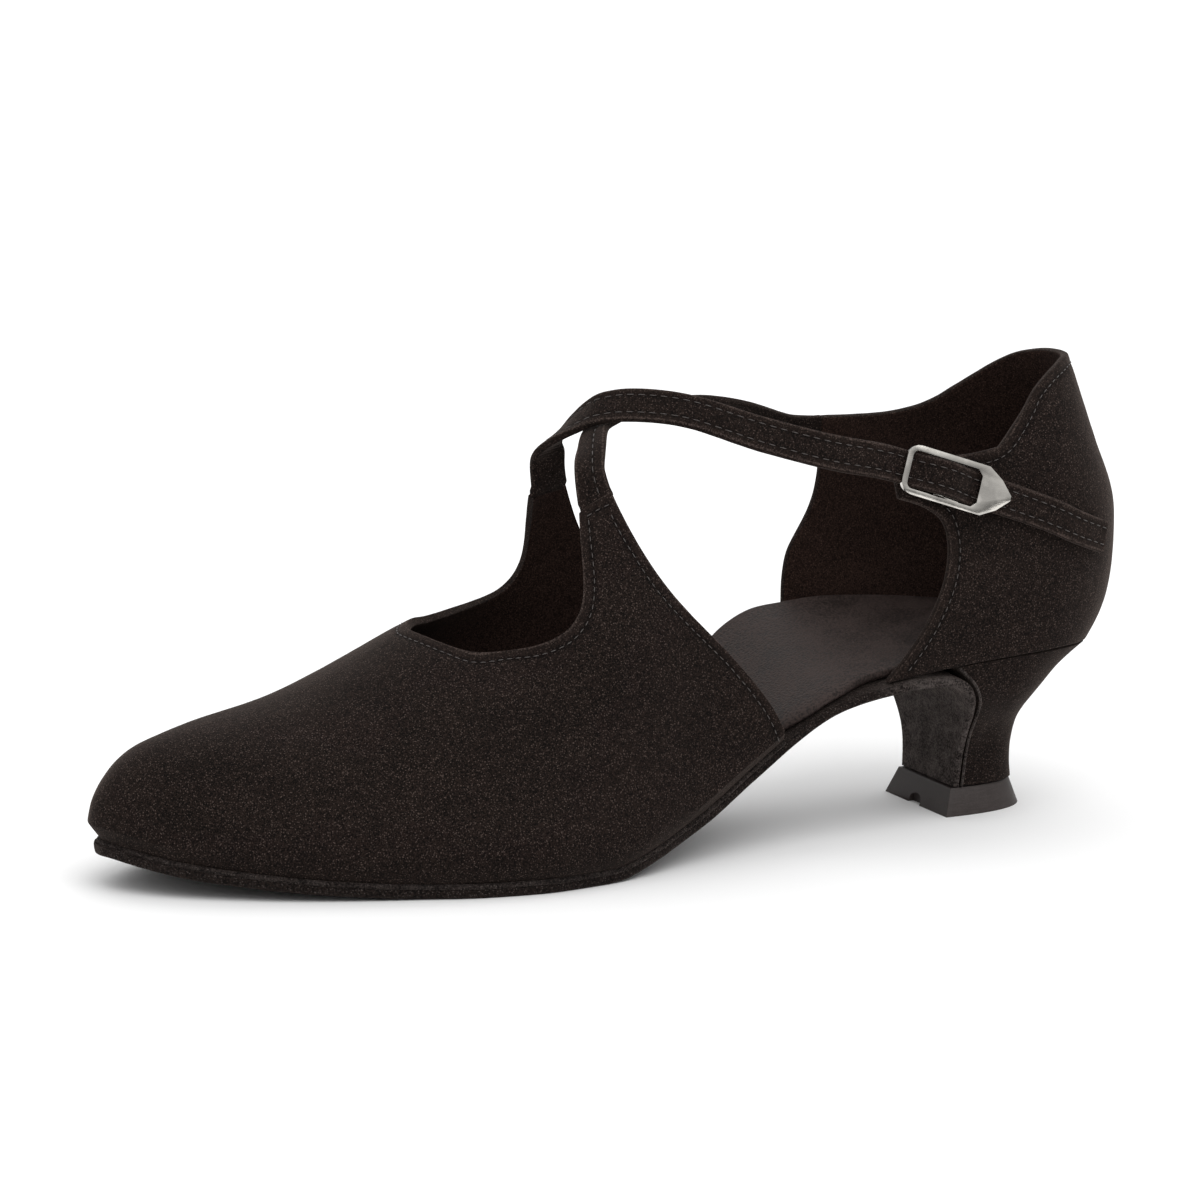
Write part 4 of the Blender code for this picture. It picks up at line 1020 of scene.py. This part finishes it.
@dataclass
class Studio:
    """Camera, floor and soft light."""
    azimuth: float = -25.0
    elevation: float = 11.0
    distance: float = 1.170
    target: tuple[float, float, float] = (-0.0932, 0.0, 0.0550)
    lens: float = 156.7
    floor_reach: float = 30.0
    floor_shade: float = 0.93
    horizon: tuple[float, float] = (0.05, 0.20)
    sky: tuple[float, float] = (0.60, 1.0)

    def build(self) -> None:
        """Set up the whole studio."""
        self.camera()
        self.floor()
        self.world()
        self.sun("key", (0.05, -0.60, 1.0), 1.05, 50.0)
        self.sun("rim", (0.35, 0.75, 0.9), 0.55, 60.0)

    def camera(self) -> None:
        """Camera at the photograph's viewing angle."""
        data = bpy.data.cameras.new("camera")
        data.lens = self.lens
        data.sensor_width = 36.0
        data.clip_start, data.clip_end = 0.05, 50.0
        item = bpy.data.objects.new("camera", data)
        turn, rise = math.radians(self.azimuth), math.radians(self.elevation)
        back = Vector((math.sin(turn) * math.cos(rise), -math.cos(turn) * math.cos(rise),
                       math.sin(rise)))
        item.location = Vector(self.target) + back * self.distance
        item.rotation_euler = (-back).to_track_quat("-Z", "Y").to_euler()
        bpy.context.scene.collection.objects.link(item)
        bpy.context.scene.camera = item

    def floor(self) -> None:
        """Plain pale floor."""
        mesh = bpy.data.meshes.new("floor")
        reach = self.floor_reach
        corners = [(-reach, -reach, 0.0), (reach, -reach, 0.0), (reach, reach, 0.0),
                   (-reach, reach, 0.0)]
        mesh.from_pydata(corners, [], [(0, 1, 2, 3)])
        item = bpy.data.objects.new("floor", mesh)
        bpy.context.scene.collection.objects.link(item)
        maker = Maker("pale_floor")
        maker.surface((self.floor_shade,) * 3, 0.9, Specular_IOR_Level=0.1)
        mesh.materials.append(maker.material)

    def world(self) -> None:
        """White surroundings, dimmer towards the horizon; each end is a height and a strength."""
        world = bpy.data.worlds.new("studio")
        world.use_nodes = True
        add, link = world.node_tree.nodes.new, world.node_tree.links.new
        way, parts, rise = (add("ShaderNodeTexCoord"), add("ShaderNodeSeparateXYZ"),
                            add("ShaderNodeMapRange"))
        for end, (height, strength) in (("Min", self.horizon), ("Max", self.sky)):
            rise.inputs["From " + end].default_value = height
            rise.inputs["To " + end].default_value = strength
        link(way.outputs["Generated"], parts.inputs[0])
        link(parts.outputs["Z"], rise.inputs["Value"])
        link(rise.outputs[0], world.node_tree.nodes["Background"].inputs["Strength"])
        world.node_tree.nodes["Background"].inputs["Color"].default_value = (1.0, 1.0, 1.0, 1.0)
        bpy.context.scene.world = world
        bpy.context.scene.view_settings.view_transform = "Standard"

    @staticmethod
    def sun(name: str, away: tuple[float, float, float], strength: float, width: float) -> None:
        """Very soft distant light.

        Args:
            name: name of the light.
            away: the way from the shoe to the light.
            strength: strength of the light.
            width: how wide the light looks, in degrees.
        """
        data = bpy.data.lights.new(name, "SUN")
        data.energy = strength
        data.angle = math.radians(width)
        item = bpy.data.objects.new(name, data)
        item.rotation_euler = Vector(away).to_track_quat("Z", "Y").to_euler()
        bpy.context.scene.collection.objects.link(item)


def main() -> None:
    """Build the shoe's looks and the studio."""
    logging.basicConfig(level=logging.INFO, format="%(name)s: %(message)s")
    sewing = StitchTree()
    for assembly in (Upper(sewing), Straps(sewing), Bottom(), Buckle(), Studio()):
        assembly.build()


if __name__ == "__main__":
    main()
